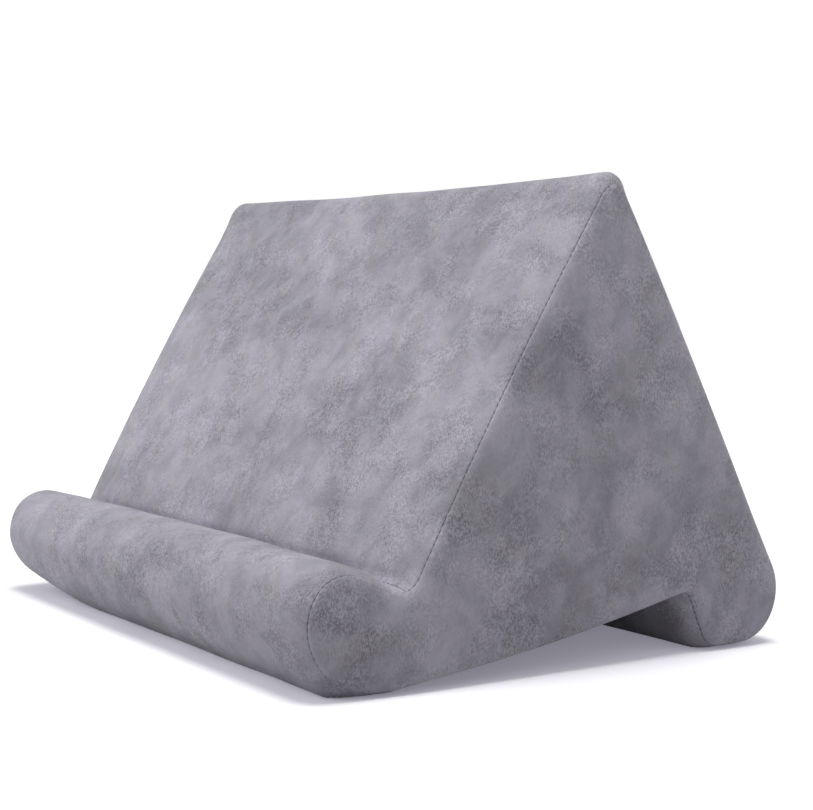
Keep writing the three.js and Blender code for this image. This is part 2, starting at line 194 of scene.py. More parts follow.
class ShaderTree:
    """A small helper that adds and links nodes in one node tree."""

    MIX_SHARE, MIX_FIRST, MIX_SECOND, MIX_RESULT = 0, 6, 7, 2

    def __init__(self, tree: NodeTree) -> None:
        """Keeps the tree to build in."""
        self.tree = tree

    def feed(self, socket: Socket, value: object) -> None:
        """Links an output to an input, or gives the input a plain value.

        Args:
            socket: The input.
            value: An output socket or a value.
        """
        if isinstance(value, Socket):
            self.tree.links.new(value, socket)
        else:
            socket.default_value = value

    def add(self, kind: str, values: dict[str | int, object] | None = None, **settings: object) -> Node:
        """Adds a node.

        Args:
            kind: The node's type.
            values: Inputs by name or number: a value, or an output socket to link.
            settings: Attributes of the node.

        Returns:
            The new node.
        """
        node = self.tree.nodes.new(kind)
        for name, value in settings.items():
            setattr(node, name, value)
        for name, value in (values or {}).items():
            self.feed(node.inputs[name], value)
        return node

    def math(self, operation: str, first: object, second: object) -> Socket:
        """Adds a maths node for two values or outputs and gives its output."""
        return self.add("ShaderNodeMath", {0: first, 1: second}, operation=operation).outputs[0]

    def scaled(self, value: object, times: object, plus: object) -> Socket:
        """Multiplies a value and adds to it."""
        return self.math("ADD", self.math("MULTIPLY", value, times), plus)

    def blend(self, share: object, first: object, second: object) -> Socket:
        """Mixes two values by the share of the second one."""
        rest = self.math("SUBTRACT", 1.0, share)
        return self.scaled(second, share, self.math("MULTIPLY", first, rest))

    def noise(self, place: Socket, scale: object, detail: float, **more: float) -> Socket:
        """Adds a noise texture and gives its value."""
        values = {"Vector": place, "Scale": scale, "Detail": detail, **more}
        return self.add("ShaderNodeTexNoise", values).outputs[0]

    def effect(self, group: NodeTree, place: Socket, scale: float) -> Node:
        """Places a shared effect on the surface."""
        return self.add("ShaderNodeGroup", {"Vector": place, "Scale": scale}, node_tree=group)

    def mix(self, share: Socket, first: Colour, second: Colour) -> Socket:
        """Mixes two colours by the share of the second one."""
        values = {self.MIX_SHARE: share, self.MIX_FIRST: (*first, 1.0), self.MIX_SECOND: (*second, 1.0)}
        return self.add("ShaderNodeMix", values, data_type="RGBA").outputs[self.MIX_RESULT]

    def spread(self, value: Socket, low: float, high: float) -> Socket:
        """Stretches a value so that low to high becomes 0 to 1, smoothly."""
        node = self.add("ShaderNodeMapRange", {"Value": value, "From Min": low, "From Max": high},
                        interpolation_type="SMOOTHSTEP")
        return node.outputs["Result"]


def node_group(name: str, inputs: dict[str, tuple[str, float | None]],
               outputs: Sequence[str]) -> tuple[ShaderTree, Node, Node]:
    """Starts a shader node group with named sockets.

    Args:
        name: The group's name.
        inputs: Socket type and default of each input, by name.
        outputs: Names of the value outputs.

    Returns:
        The helper for its tree, its input node and its output node.
    """
    tree = bpy.data.node_groups.new(name, "ShaderNodeTree")
    for socket, (kind, default) in inputs.items():
        made = tree.interface.new_socket(socket, in_out="INPUT", socket_type=kind)
        if default is not None:
            made.default_value = default
    for socket in outputs:
        tree.interface.new_socket(socket, in_out="OUTPUT", socket_type="NodeSocketFloat")
    helper = ShaderTree(tree)
    return helper, helper.add("NodeGroupInput"), helper.add("NodeGroupOutput")


class Effects:
    """Shared surface effects, each a node group that is built once.

    A spot of the patches has its share of the scale, its detail and its shift.
    """

    LEANS = ((0.9, 0.6, 0.3), (-0.9, 0.7, -0.4))
    DRAWN_OUT = (1.0, 1.0, 0.6)
    FIELD_SHARE, CLUMP_SHARE = 0.06, 0.3
    FIELD_LIMITS, TONE_LIMITS, SPOT_LIMITS = (0.44, 0.56), (0.34, 0.66), (0.37, 0.63)
    SPOTS = {"Patch": (1.0, 4.0, (3.9, 1.1, 8.3)), "Mottle": (3.6, 8.0, (5.2, 2.2, 7.1)),
             "Tint": (2.1, 1.0, (9.0, 9.0, 9.0)), "Fluff": (2.8, 2.0, (14.0, 14.0, 14.0))}

    def __init__(self) -> None:
        """Builds the groups."""
        self.grain = self._grain()
        self.patches = self._patches()

    def _grain(self) -> NodeTree:
        """Short fibres that lean one way or another: a tone and a height, both about 0 to 1.

        Returns:
            The node group.
        """
        inputs = {"Vector": ("NodeSocketVector", None), "Scale": ("NodeSocketFloat", 900.0),
                  "Clumping": ("NodeSocketFloat", 0.25)}
        tree, given, result = node_group("fibre_grain", inputs, ("Tone", "Height"))
        place, scale = given.outputs["Vector"], given.outputs["Scale"]
        leans = []
        for lean in self.LEANS:
            values = {"Vector": place, "Rotation": lean, "Scale": self.DRAWN_OUT}
            leans.append(tree.noise(tree.add("ShaderNodeMapping", values).outputs[0], scale, 0.0))
        fields = tree.noise(place, tree.math("MULTIPLY", scale, self.FIELD_SHARE), 1.0)
        strokes = tree.blend(tree.spread(fields, *self.FIELD_LIMITS), *leans)
        clumps = tree.noise(place, tree.math("MULTIPLY", scale, self.CLUMP_SHARE), 2.0)
        height = tree.blend(given.outputs["Clumping"], strokes, clumps)
        tree.feed(result.inputs["Tone"], tree.spread(height, *self.TONE_LIMITS))
        tree.feed(result.inputs["Height"], height)
        return tree.tree

    def _patches(self) -> NodeTree:
        """Soft blotches, as where a pile lies one way or the other: 0 to 1.

        Returns:
            The node group.
        """
        inputs = {"Vector": ("NodeSocketVector", None), "Scale": ("NodeSocketFloat", 25.0)}
        tree, given, result = node_group("tone_patches", inputs, tuple(self.SPOTS))
        for name, (times, detail, apart) in self.SPOTS.items():
            moved = tree.add("ShaderNodeVectorMath", {0: given.outputs["Vector"], 1: apart})
            scale = tree.math("MULTIPLY", given.outputs["Scale"], times)
            spot = tree.noise(moved.outputs[0], scale, detail, Roughness=0.6, Distortion=0.4)
            tree.feed(result.inputs[name], tree.spread(spot, *self.SPOT_LIMITS))
        return tree.tree


@dataclass(frozen=True)
class Finish:
    """What every finish shares: a name and constant shader values."""

    name: str
    roughness: float = 0.8
    relief: float = 0.3 * MM
    relief_strength: float = 0.8

    def start(self) -> tuple[Material, ShaderTree, Node, Socket]:
        """Starts a material with one Principled shader.

        Returns:
            The material, its tree helper, its shader and the place on the surface.
        """
        material = bpy.data.materials.new(self.name)
        material.use_nodes = True
        tree = ShaderTree(material.node_tree)
        shader = material.node_tree.nodes["Principled BSDF"]
        shader.inputs["Roughness"].default_value = self.roughness
        place = tree.add("ShaderNodeTexCoord").outputs["Object"]
        return material, tree, shader, place

    def bump(self, tree: ShaderTree, shader: Node, height: Socket) -> None:
        """Feeds a height from 0 to 1 into the shader's normal."""
        values = {"Height": height, "Strength": self.relief_strength, "Distance": self.relief}
        tree.feed(shader.inputs["Normal"], tree.add("ShaderNodeBump", values).outputs["Normal"])


@dataclass(frozen=True)
class Velour(Finish):
    """Short-pile velour with brushed patches and a soft sheen."""

    violet: Colour = linear(172, 168.5, 182)
    neutral: Colour = linear(172.5, 169.5, 178.5)
    nap_shift: float = 0.46
    mottle_share: float = 0.5
    fleck: float = 0.34
    fluff: float = 1.1
    least_fluff: float = 0.3
    patch_scale: float = 16.0
    grain_scale: float = 1450.0
    clumping: float = 0.4
    brushed: float = 0.7
    relief: float = 0.35 * MM
    smoothing: float = 0.12
    specular: float = 0.2
    sheen: float = 0.2
    sheen_roughness: float = 0.45

    def material(self, effects: Effects) -> Material:
        """Builds the material.

        Args:
            effects: The shared node groups.

        Returns:
            The material.
        """
        material, tree, shader, place = self.start()
        patches = tree.effect(effects.patches, place, self.patch_scale).outputs
        grain = tree.effect(effects.grain, place, self.grain_scale)
        grain.inputs["Clumping"].default_value = self.clumping
        nap = tree.blend(self.mottle_share, patches["Patch"], patches["Mottle"])
        ground = tree.mix(patches["Tint"], self.neutral, self.violet)
        raised = tree.scaled(patches["Fluff"], self.fluff, self.least_fluff)
        fleck = tree.math("MULTIPLY", tree.math("SUBTRACT", grain.outputs["Tone"], 0.5), self.fleck)
        leaning = tree.scaled(nap, self.nap_shift, 1.0 - self.nap_shift / 2)
        shade = tree.scaled(fleck, raised, leaning)
        toned = tree.add("ShaderNodeVectorMath", {0: ground, "Scale": shade}, operation="SCALE")
        tree.feed(shader.inputs["Base Color"], toned.outputs[0])
        tree.feed(shader.inputs["Roughness"], tree.scaled(nap, -self.smoothing, self.roughness))
        shader.inputs["Specular IOR Level"].default_value = self.specular
        shader.inputs["Sheen Weight"].default_value = self.sheen
        shader.inputs["Sheen Roughness"].default_value = self.sheen_roughness
        height = tree.scaled(patches["Mottle"], self.brushed, grain.outputs["Height"])
        self.bump(tree, shader, height)
        return material


@dataclass(frozen=True)
class PlainCloth(Finish):
    """Woven tape, thread or foam: a colour with grain and a relief."""

    light: Colour = (0.2, 0.2, 0.2)
    dark: Colour = (0.1, 0.1, 0.1)
    grain_scale: float = 1500.0
    specular: float = 0.25
    ribs: float = 0.0
    rib_share: float = 0.5
    rib_grain: float = 0.4
    rib_wander: float = 0.4

    def material(self, effects: Effects) -> Material:
        """Builds the material.

        Args:
            effects: The shared node groups.

        Returns:
            The material.
        """
        material, tree, shader, place = self.start()
        grain = tree.effect(effects.grain, place, self.grain_scale).outputs
        height, tone = grain["Height"], grain["Tone"]
        if self.ribs:
            values = {"Vector": place, "Scale": self.ribs, "Distortion": self.rib_wander}
            wave = tree.add("ShaderNodeTexWave", values, wave_type="BANDS", bands_direction="DIAGONAL")
            rib = wave.outputs["Fac"]
            height = tree.scaled(height, self.rib_grain, rib)
            tone = tree.blend(self.rib_share, tone, rib)
        tree.feed(shader.inputs["Base Color"], tree.mix(tone, self.dark, self.light))
        shader.inputs["Specular IOR Level"].default_value = self.specular
        self.bump(tree, shader, height)
        return material


@dataclass(frozen=True)
class SatinMetal(Finish):
    """Satin plated zinc with faint handling marks."""

    light: Colour = linear(186, 187, 192)
    dark: Colour = linear(150, 151, 157)
    patch_scale: float = 220.0
    grain_scale: float = 5000.0
    handled: float = 0.16
    relief: float = 0.05 * MM
    relief_strength: float = 0.25

    def material(self, effects: Effects) -> Material:
        """Builds the material.

        Args:
            effects: The shared node groups.

        Returns:
            The material.
        """
        material, tree, shader, place = self.start()
        patches = tree.effect(effects.patches, place, self.patch_scale).outputs
        grain = tree.effect(effects.grain, place, self.grain_scale).outputs
        tree.feed(shader.inputs["Base Color"], tree.mix(patches["Mottle"], self.dark, self.light))
        shader.inputs["Metallic"].default_value = 1.0
        tree.feed(shader.inputs["Roughness"], tree.scaled(patches["Patch"], self.handled, self.roughness))
        self.bump(tree, shader, grain["Height"])
        return material


def finishes() -> dict[Slot, Material]:
    """Builds the shared effects and all finishes of the stand.

    Returns:
        The material for each slot.
    """
    effects = Effects()
    looks = {
        Slot.COVER: Velour("grey_velour", roughness=1.0),
        Slot.FOAM: PlainCloth("cream_foam", roughness=1.0, light=linear(238, 230, 205),
                              dark=linear(214, 203, 172), grain_scale=500.0, relief=0.8 * MM),
        Slot.TAPE: PlainCloth("zip_tape_weave", roughness=0.9, light=linear(134, 131, 140),
                              dark=linear(104, 101, 110), ribs=900.0),
        Slot.COIL: PlainCloth("zip_coil_nylon", roughness=0.42, light=linear(126, 123, 132),
                              dark=linear(108, 105, 114), grain_scale=2500.0, relief=0.05 * MM),
        Slot.THREAD: PlainCloth("sewing_thread", roughness=0.8, light=linear(112, 109, 118),
                                dark=linear(84, 81, 90), grain_scale=4000.0, relief=0.1 * MM),
        Slot.METAL: SatinMetal("satin_zinc", roughness=0.3),
    }
    return {slot: look.material(effects) for slot, look in looks.items()}


# Side outline


def heading(degrees: float) -> Array:
    """Unit vector in the side plane, as (Y, Z)."""
    return np.array([math.cos(math.radians(degrees)), math.sin(math.radians(degrees))])


@dataclass(frozen=True)
class Stretch:
    """One smooth stretch of the outline, sampled closely.

    Attributes:
        points: Points in the side plane.
        tangents: Direction of travel at each point.
        rise: Height of the cover above the seam at the start and the end.
        swell: Further height at mid-width at the start and the end.
        bump: Further height at mid-width in the middle of the stretch.
    """

    points: Array
    tangents: Array
    rise: Pair
    swell: Pair = (0.0, 0.0)
    bump: float = 0.0

    def spread(self) -> tuple[Array, Array]:
        """Rise and swell at each point."""
        share = np.linspace(0, 1, len(self.points))
        swell = np.linspace(*self.swell, len(share)) + self.bump * 4 * share * (1 - share)
        return np.linspace(*self.rise, len(share)), swell


SAMPLE_STEP = 0.4 * MM


def steps_along(length: float) -> Array:
    """Even shares of a stretch of that length, as a column."""
    return np.linspace(0, 1, max(3, math.ceil(length / SAMPLE_STEP) + 1))[:, None]


def bowed(start: Array, end: Array, bow: float, rise: Pair,
          swell: Pair = (0.0, 0.0), bump: float = 0.0) -> Stretch:
    """A straight stretch, or one that the filling bows outward.

    Args:
        start: First point.
        end: Last point.
        bow: How far its middle stands out.
        rise: The cover's rise at both ends.
        swell: The cover's swell at both ends.
        bump: The cover's swell in the middle.

    Returns:
        The stretch.
    """
    run = end - start
    length = float(np.linalg.norm(run))
    control = (start + end) / 2 + np.array([-run[1], run[0]]) / length * 2 * bow
    t = steps_along(length)
    points = (1 - t) ** 2 * start + 2 * t * (1 - t) * control + t ** 2 * end
    tangents = (1 - t) * (control - start) + t * (end - control)
    return Stretch(points, tangents, rise, swell, bump)


def arc(centre: Array, radius: float, first: float, last: float, rise: Pair,
        swell: Pair = (0.0, 0.0)) -> Stretch:
    """A round stretch.

    Args:
        centre: Centre of the arc.
        radius: Its radius.
        first: Heading from the centre to its start, in degrees.
        last: Heading from the centre to its end, in degrees.
        rise: The cover's rise at both ends.
        swell: The cover's swell at both ends.

    Returns:
        The stretch.
    """
    t = steps_along(radius * math.radians(abs(last - first)))
    angle = np.radians(first + (last - first) * t)
    turn = math.copysign(1.0, last - first)
    points = centre + radius * np.hstack([np.cos(angle), np.sin(angle)])
    return Stretch(points, turn * np.hstack([-np.sin(angle), np.cos(angle)]), rise, swell)


@dataclass(frozen=True)
class OutlinePlace:
    """Places along the outline: point, outward normal, rise and swell of the cover."""

    point: Array
    normal: Array
    rise: Array
    swell: Array


@dataclass
class SideOutline:
    """The side outline along the seams, clockwise from the seam in the ledge.

    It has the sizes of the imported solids, but for the ridge, the ledge and the lip, which follow the stuffed
    form. Angles are in degrees.
    """

    width: float = 320 * MM
    depth: float = 267 * MM
    lift: float = 1 * MM
    heel_radius: float = 28.5 * MM
    heel_at: float = 38.5 * MM
    lip_low_radius: float = 34 * MM
    lip_low_turn: float = 200.0
    bulge_turn: float = 248.0
    lip_radius: float = 24 * MM
    lip_turn: float = 154.0
    lip_top_radius: float = 16.5 * MM
    ledge_slope: float = 24.74
    ledge_length: float = 24.97 * MM
    face_angle: float = 60.8
    face_length: float = 209.4 * MM
    brow_radius: float = 14 * MM
    brow_angle: float = 20.0
    ridge_radius: float = 4.5 * MM
    foot_radius: float = 24.5 * MM
    foot_flat: float = 14 * MM
    toe_radius: float = 11 * MM
    toe_lean: float = 27.0
    base_rise: float = 10.0
    groove_radius: float = 10 * MM
    notch_radius: float = 6 * MM
    face_bow: float = 2 * MM
    back_bow: float = 0.8 * MM
    base_bow: float = 2 * MM
    ledge_bow: float = 0.5 * MM
    panel_rise: float = 3.5 * MM
    plump_rise: float = 4.6 * MM
    ridge_rise: float = 6.3 * MM
    bulge_rise: float = 6 * MM
    rest_rise: float = 1.5 * MM
    crease_rise: float = 1 * MM
    face_crown: float = 2.5 * MM
    back_crown: float = 1.5 * MM
    ridge_sag: float = 2 * MM
    zip_above_foot: float = 30 * MM
    foot_block_above_foot: float = 10 * MM
    lip_seam_behind_flat: float = 11 * MM
    softening: float = 3 * MM

    def __post_init__(self) -> None:
        """Works out the stretches and samples the whole loop."""
        runs = self._runs()
        stretches = [stretch for run in runs.values() for stretch in run]
        points = np.vstack([stretch.points[:-1] for stretch in stretches])
        tangents = unit(np.vstack([stretch.tangents[:-1] for stretch in stretches]))
        spreads = [stretch.spread() for stretch in stretches]
        gaps = np.linalg.norm(np.roll(points, -1, axis=0) - points, axis=1)
        self.travel = np.concatenate([[0.0], np.cumsum(gaps)[:-1]])
        self.total = float(gaps.sum())
        self.points = points
        self.normals = np.column_stack([-tangents[:, 1], tangents[:, 0]])
        self.rise = self._softened(np.concatenate([rise[:-1] for rise, _ in spreads]))
        self.swell = self._softened(np.concatenate([swell[:-1] for _, swell in spreads]))
        counts = np.cumsum([0] + [sum(len(s.points) - 1 for s in run) for run in runs.values()])
        starts = dict(zip(runs, self.travel[counts[:-1]].tolist()))
        self.zip_at = starts["heel"]
        self.foot_cut_at = starts["foot"]
        self.notch_at = starts["base"]
        self.base_seam_at = starts["lip"]
        self.ridge_at = float(self.travel[np.argmax(points[:, 1])])

    def _softened(self, values: Array) -> Array:
        """Evens out a value along the loop.

        Args:
            values: A value for each sample.

        Returns:
            The evened values.
        """
        reach = int(3 * self.softening / SAMPLE_STEP)
        weights = np.exp(-0.5 * (np.arange(-reach, reach + 1) * SAMPLE_STEP / self.softening) ** 2)
        wrapped = np.concatenate([values[-reach:], values, values[:reach]])
        return np.convolve(wrapped, weights / weights.sum(), mode="valid")

    def _crease(self, corner: Array, way_in: float, way_out: float,
                radius: float) -> tuple[Stretch, Stretch]:
        """Rounds an inside corner in two halves, so that a seam lies in its middle.

        Args:
            corner: The sharp corner.
            way_in: Heading before it.
            way_out: Heading after it.
            radius: Radius of the rounding.

        Returns:
            The half before the seam and the half after it.
        """
        turn = way_out - way_in
        start = corner - heading(way_in) * radius * math.tan(math.radians(turn / 2))
        centre = start + heading(way_in + 90) * radius
        first, middle = way_in - 90, way_in - 90 + turn / 2
        low, high = self.crease_rise, self.plump_rise
        return (arc(centre, radius, first, middle, (high, low)),
                arc(centre, radius, middle, first + turn, (low, high)))

    def _runs(self) -> dict[str, list[Stretch]]:
        """Lays out the outline from its driving sizes.

        Returns:
            The stretches of each run of the outline, in order.
        """
        heel = np.array([self.heel_at - self.depth / 2, self.heel_radius + self.lift])
        inward = heading(self.lip_low_turn) * (self.lip_low_radius - self.lip_radius)
        lip_low = np.array([self.lip_radius - self.depth / 2 - inward[0], self.lip_low_radius + self.lift])
        lip = lip_low + inward
        lip_top = lip + heading(self.lip_turn) * (self.lip_radius - self.lip_top_radius)
        ledge = lip_top + heading(90 - self.ledge_slope) * self.lip_top_radius
        groove = ledge + heading(-self.ledge_slope) * self.ledge_length
        apex = groove + heading(self.face_angle) * self.face_length
        foot = np.array([self.depth / 2 - self.foot_radius, self.foot_radius + self.lift])
        toe = np.array([foot[0] - self.foot_flat, self.toe_radius + self.lift])
        to_foot = foot - apex
        back = math.degrees(math.atan2(to_foot[1], to_foot[0])
                            + math.asin(self.foot_radius / np.linalg.norm(to_foot)))
        back_end = foot + heading(back + 90) * self.foot_radius
        zip_line = back_end - heading(back) * self.zip_above_foot
        foot_cut = back_end - heading(back) * self.foot_block_above_foot
        wall, base = 90 + self.toe_lean, 180 + self.base_rise
        toe_end = toe + heading(wall + 90) * self.toe_radius
        base_end = heel + heading(base + 90) * self.heel_radius
        base_seam = base_end - heading(base) * self.lip_seam_behind_flat
        along = np.linalg.solve(np.column_stack([heading(wall), -heading(base)]), base_end - toe_end)
        notch = toe_end + heading(wall) * along[0]
        brow_out, ridge_out = heading(self.face_angle + 90), heading(self.brow_angle + 90)
        bend = (ridge_out - brow_out) * self.brow_radius
        bend = bend + (heading(back + 90) - ridge_out) * self.ridge_radius
        before, after = np.linalg.solve(np.column_stack([heading(self.face_angle), heading(back)]), bend)
        face_top, back_top = apex - heading(self.face_angle) * before, apex + heading(back) * after
        brow = face_top - brow_out * self.brow_radius
        ridge = brow + ridge_out * (self.brow_radius - self.ridge_radius)
        into_groove, out_of_groove = self._crease(groove, -self.ledge_slope, self.face_angle,
                                                  self.groove_radius)
        into_notch, out_of_notch = self._crease(notch, wall, base, self.notch_radius)
        plump, level, low, bulge = self.plump_rise, self.panel_rise, self.rest_rise, self.bulge_rise
        full, flat, rest, sag = (plump, plump), (level, level), (low, low), -self.ridge_sag
        down, up, over = (plump, low), (low, plump), (plump, self.ridge_rise)
        self.apex_height = float(apex[1])
        return {
            "main": [
                out_of_groove,
                bowed(out_of_groove.points[-1], face_top, self.face_bow, full, (0, sag), self.face_crown),
                arc(brow, self.brow_radius, self.face_angle + 90, self.brow_angle + 90, over, (sag, sag)),
                arc(ridge, self.ridge_radius, self.brow_angle + 90, back + 90, over[::-1], (sag, sag)),
                bowed(back_top, zip_line, self.back_bow, (plump, level), (sag, 0), self.back_crown),
            ],
            "heel": [bowed(zip_line, foot_cut, 0, flat)],
            "foot": [
                bowed(foot_cut, back_end, 0, (level, plump)),
                arc(foot, self.foot_radius, back + 90, -90, down),
                bowed(np.array([foot[0], self.lift]), np.array([toe[0], self.lift]), 0, rest),
                arc(toe, self.toe_radius, 270, wall + 90, up),
                bowed(toe_end, into_notch.points[0], 0, full),
                into_notch,
            ],
            "base": [
                out_of_notch,
                bowed(out_of_notch.points[-1], base_seam, self.base_bow, down),
            ],
            "lip": [
                bowed(base_seam, base_end, 0, rest),
                arc(heel, self.heel_radius, 270 + self.base_rise, 270, rest),
                bowed(np.array([heel[0], self.lift]), np.array([lip_low[0], self.lift]), 0, rest),
                arc(lip_low, self.lip_low_radius, 270, self.bulge_turn, (low, bulge)),
                arc(lip_low, self.lip_low_radius, self.bulge_turn, self.lip_low_turn, (bulge, plump)),
                arc(lip, self.lip_radius, self.lip_low_turn, self.lip_turn, full),
                arc(lip_top, self.lip_top_radius, self.lip_turn, 90 - self.ledge_slope, full),
                bowed(ledge, into_groove.points[0], self.ledge_bow, full),
                into_groove,
            ],
        }

    def _look(self, travel: Array, values: Array) -> Array:
        """Reads a sampled value at places along the loop."""
        return np.interp(travel, self.travel, values, period=self.total)

    def at(self, travel: Array) -> OutlinePlace:
        """Looks up places along the outline.

        Args:
            travel: Distances along the loop, of any shape.

        Returns:
            The places, with the same shape.
        """
        point = np.stack([self._look(travel, column) for column in self.points.T], -1)
        normal = np.stack([self._look(travel, column) for column in self.normals.T], -1)
        rise, swell = self._look(travel, self.rise), self._look(travel, self.swell)
        return OutlinePlace(point, unit(normal), rise, swell)

    def from_seam(self, travel: Array) -> Array:
        """Distance along the outline to the nearest seam across the width, apart from the zip."""
        seams = np.array([0.0, self.notch_at, self.base_seam_at, self.total])
        return np.abs(travel[..., None] - seams).min(-1)

    def stations(self, start: float, end: float, longest: float, sharpest: float) -> Array:
        """Spaces stations evenly on flats and closer on bends.

        Args:
            start: First station.
            end: Last station.
            longest: Longest step.
            sharpest: Largest turn in one step, in degrees.

        Returns:
            The stations.
        """
        fine = np.linspace(start, end, max(8, math.ceil((end - start) / SAMPLE_STEP)))
        normal = self.at(fine).normal
        turns = np.arccos(np.clip((normal[1:] * normal[:-1]).sum(1), -1, 1))
        effort = np.diff(fine) / longest + np.degrees(turns) / sharpest
        tally = np.concatenate([[0], np.cumsum(effort)])
        return np.interp(np.linspace(0, tally[-1], math.ceil(tally[-1]) + 1), tally, fine)


# Stuffed cover


@dataclass(frozen=True)
class SeamFold:
    """How a panel's edge rolls over and turns in at a seam."""

    roll: float = 0.6 * MM
    depth: float = 4 * MM
    gap: float = 0.05 * MM
    steps: int = 4

    def profile(self) -> list[Pair]:
        """Distances from the seam and drops below the surface, from the turned-in edge outward."""
        turns = [math.radians(90 * step / self.steps) for step in range(self.steps + 1)]
        rolled = [(self.gap + self.roll * (1 - math.cos(a)), self.roll * (1 - math.sin(a))) for a in turns]
        return [(self.gap, self.depth), *rolled]


@dataclass
class SwellField:
    """How far the stuffed cover stands out from its plain form, from the cloth simulation."""

    travel_step: float
    width_step: float
    half_width: float
    band: Array
    side_points: Array
    side_swell: dict[Side, Array]
    blur: float = 6 * MM

    @staticmethod
    def _weights(share: Array) -> list[Array]:
        """Weights of four neighbours for a smooth curve through them."""
        t = share
        return [-0.5 * t + t ** 2 - 0.5 * t ** 3, 1 - 2.5 * t ** 2 + 1.5 * t ** 3,
                0.5 * t + 2 * t ** 2 - 1.5 * t ** 3, -0.5 * t ** 2 + 0.5 * t ** 3]

    def on_band(self, travel: Array, x: Array) -> Array:
        """Swell of the wrap panels.

        Args:
            travel: Distances along the outline.
            x: Places across the width.

        Returns:
            The swell at each place.
        """
        rows, columns = self.band.shape
        u, v = travel / self.travel_step, (x + self.half_width) / self.width_step
        row, column = np.floor(u).astype(int), np.floor(v).astype(int)
        total = np.zeros(np.broadcast(u, v).shape)
        for i, across in enumerate(self._weights(u - row)):
            for j, along in enumerate(self._weights(v - column)):
                picked = self.band[(row + i - 1) % rows, np.clip(column + j - 1, 0, columns - 1)]
                total += across * along * picked
        return total

    def on_side(self, side: Side, points: Array) -> Array:
        """Swell of an end panel.

        Args:
            side: Which end.
            points: Places in the side plane.

        Returns:
            The swell at each place.
        """
        gaps = ((points[:, None, :] - self.side_points[None]) ** 2).sum(-1)
        weights = np.exp(-gaps / (2 * self.blur ** 2)) + 1e-12
        return (weights @ self.side_swell[side]) / weights.sum(1)


def uneven(points: Array, size: float, seed: float) -> Array:
    """Gentle unevenness of stuffed cloth.

    Args:
        points: Places, with a last axis of three.
        size: Size of the humps.
        seed: Moves the pattern.

    Returns:
        A value from about -1 to 1 for each place.
    """
    shift = Vector((seed, seed * 0.7, seed * 1.3))
    values = [noise.noise(Vector(point) / size + shift) for point in points.reshape(-1, 3)]
    return np.array(values).reshape(points.shape[:-1])


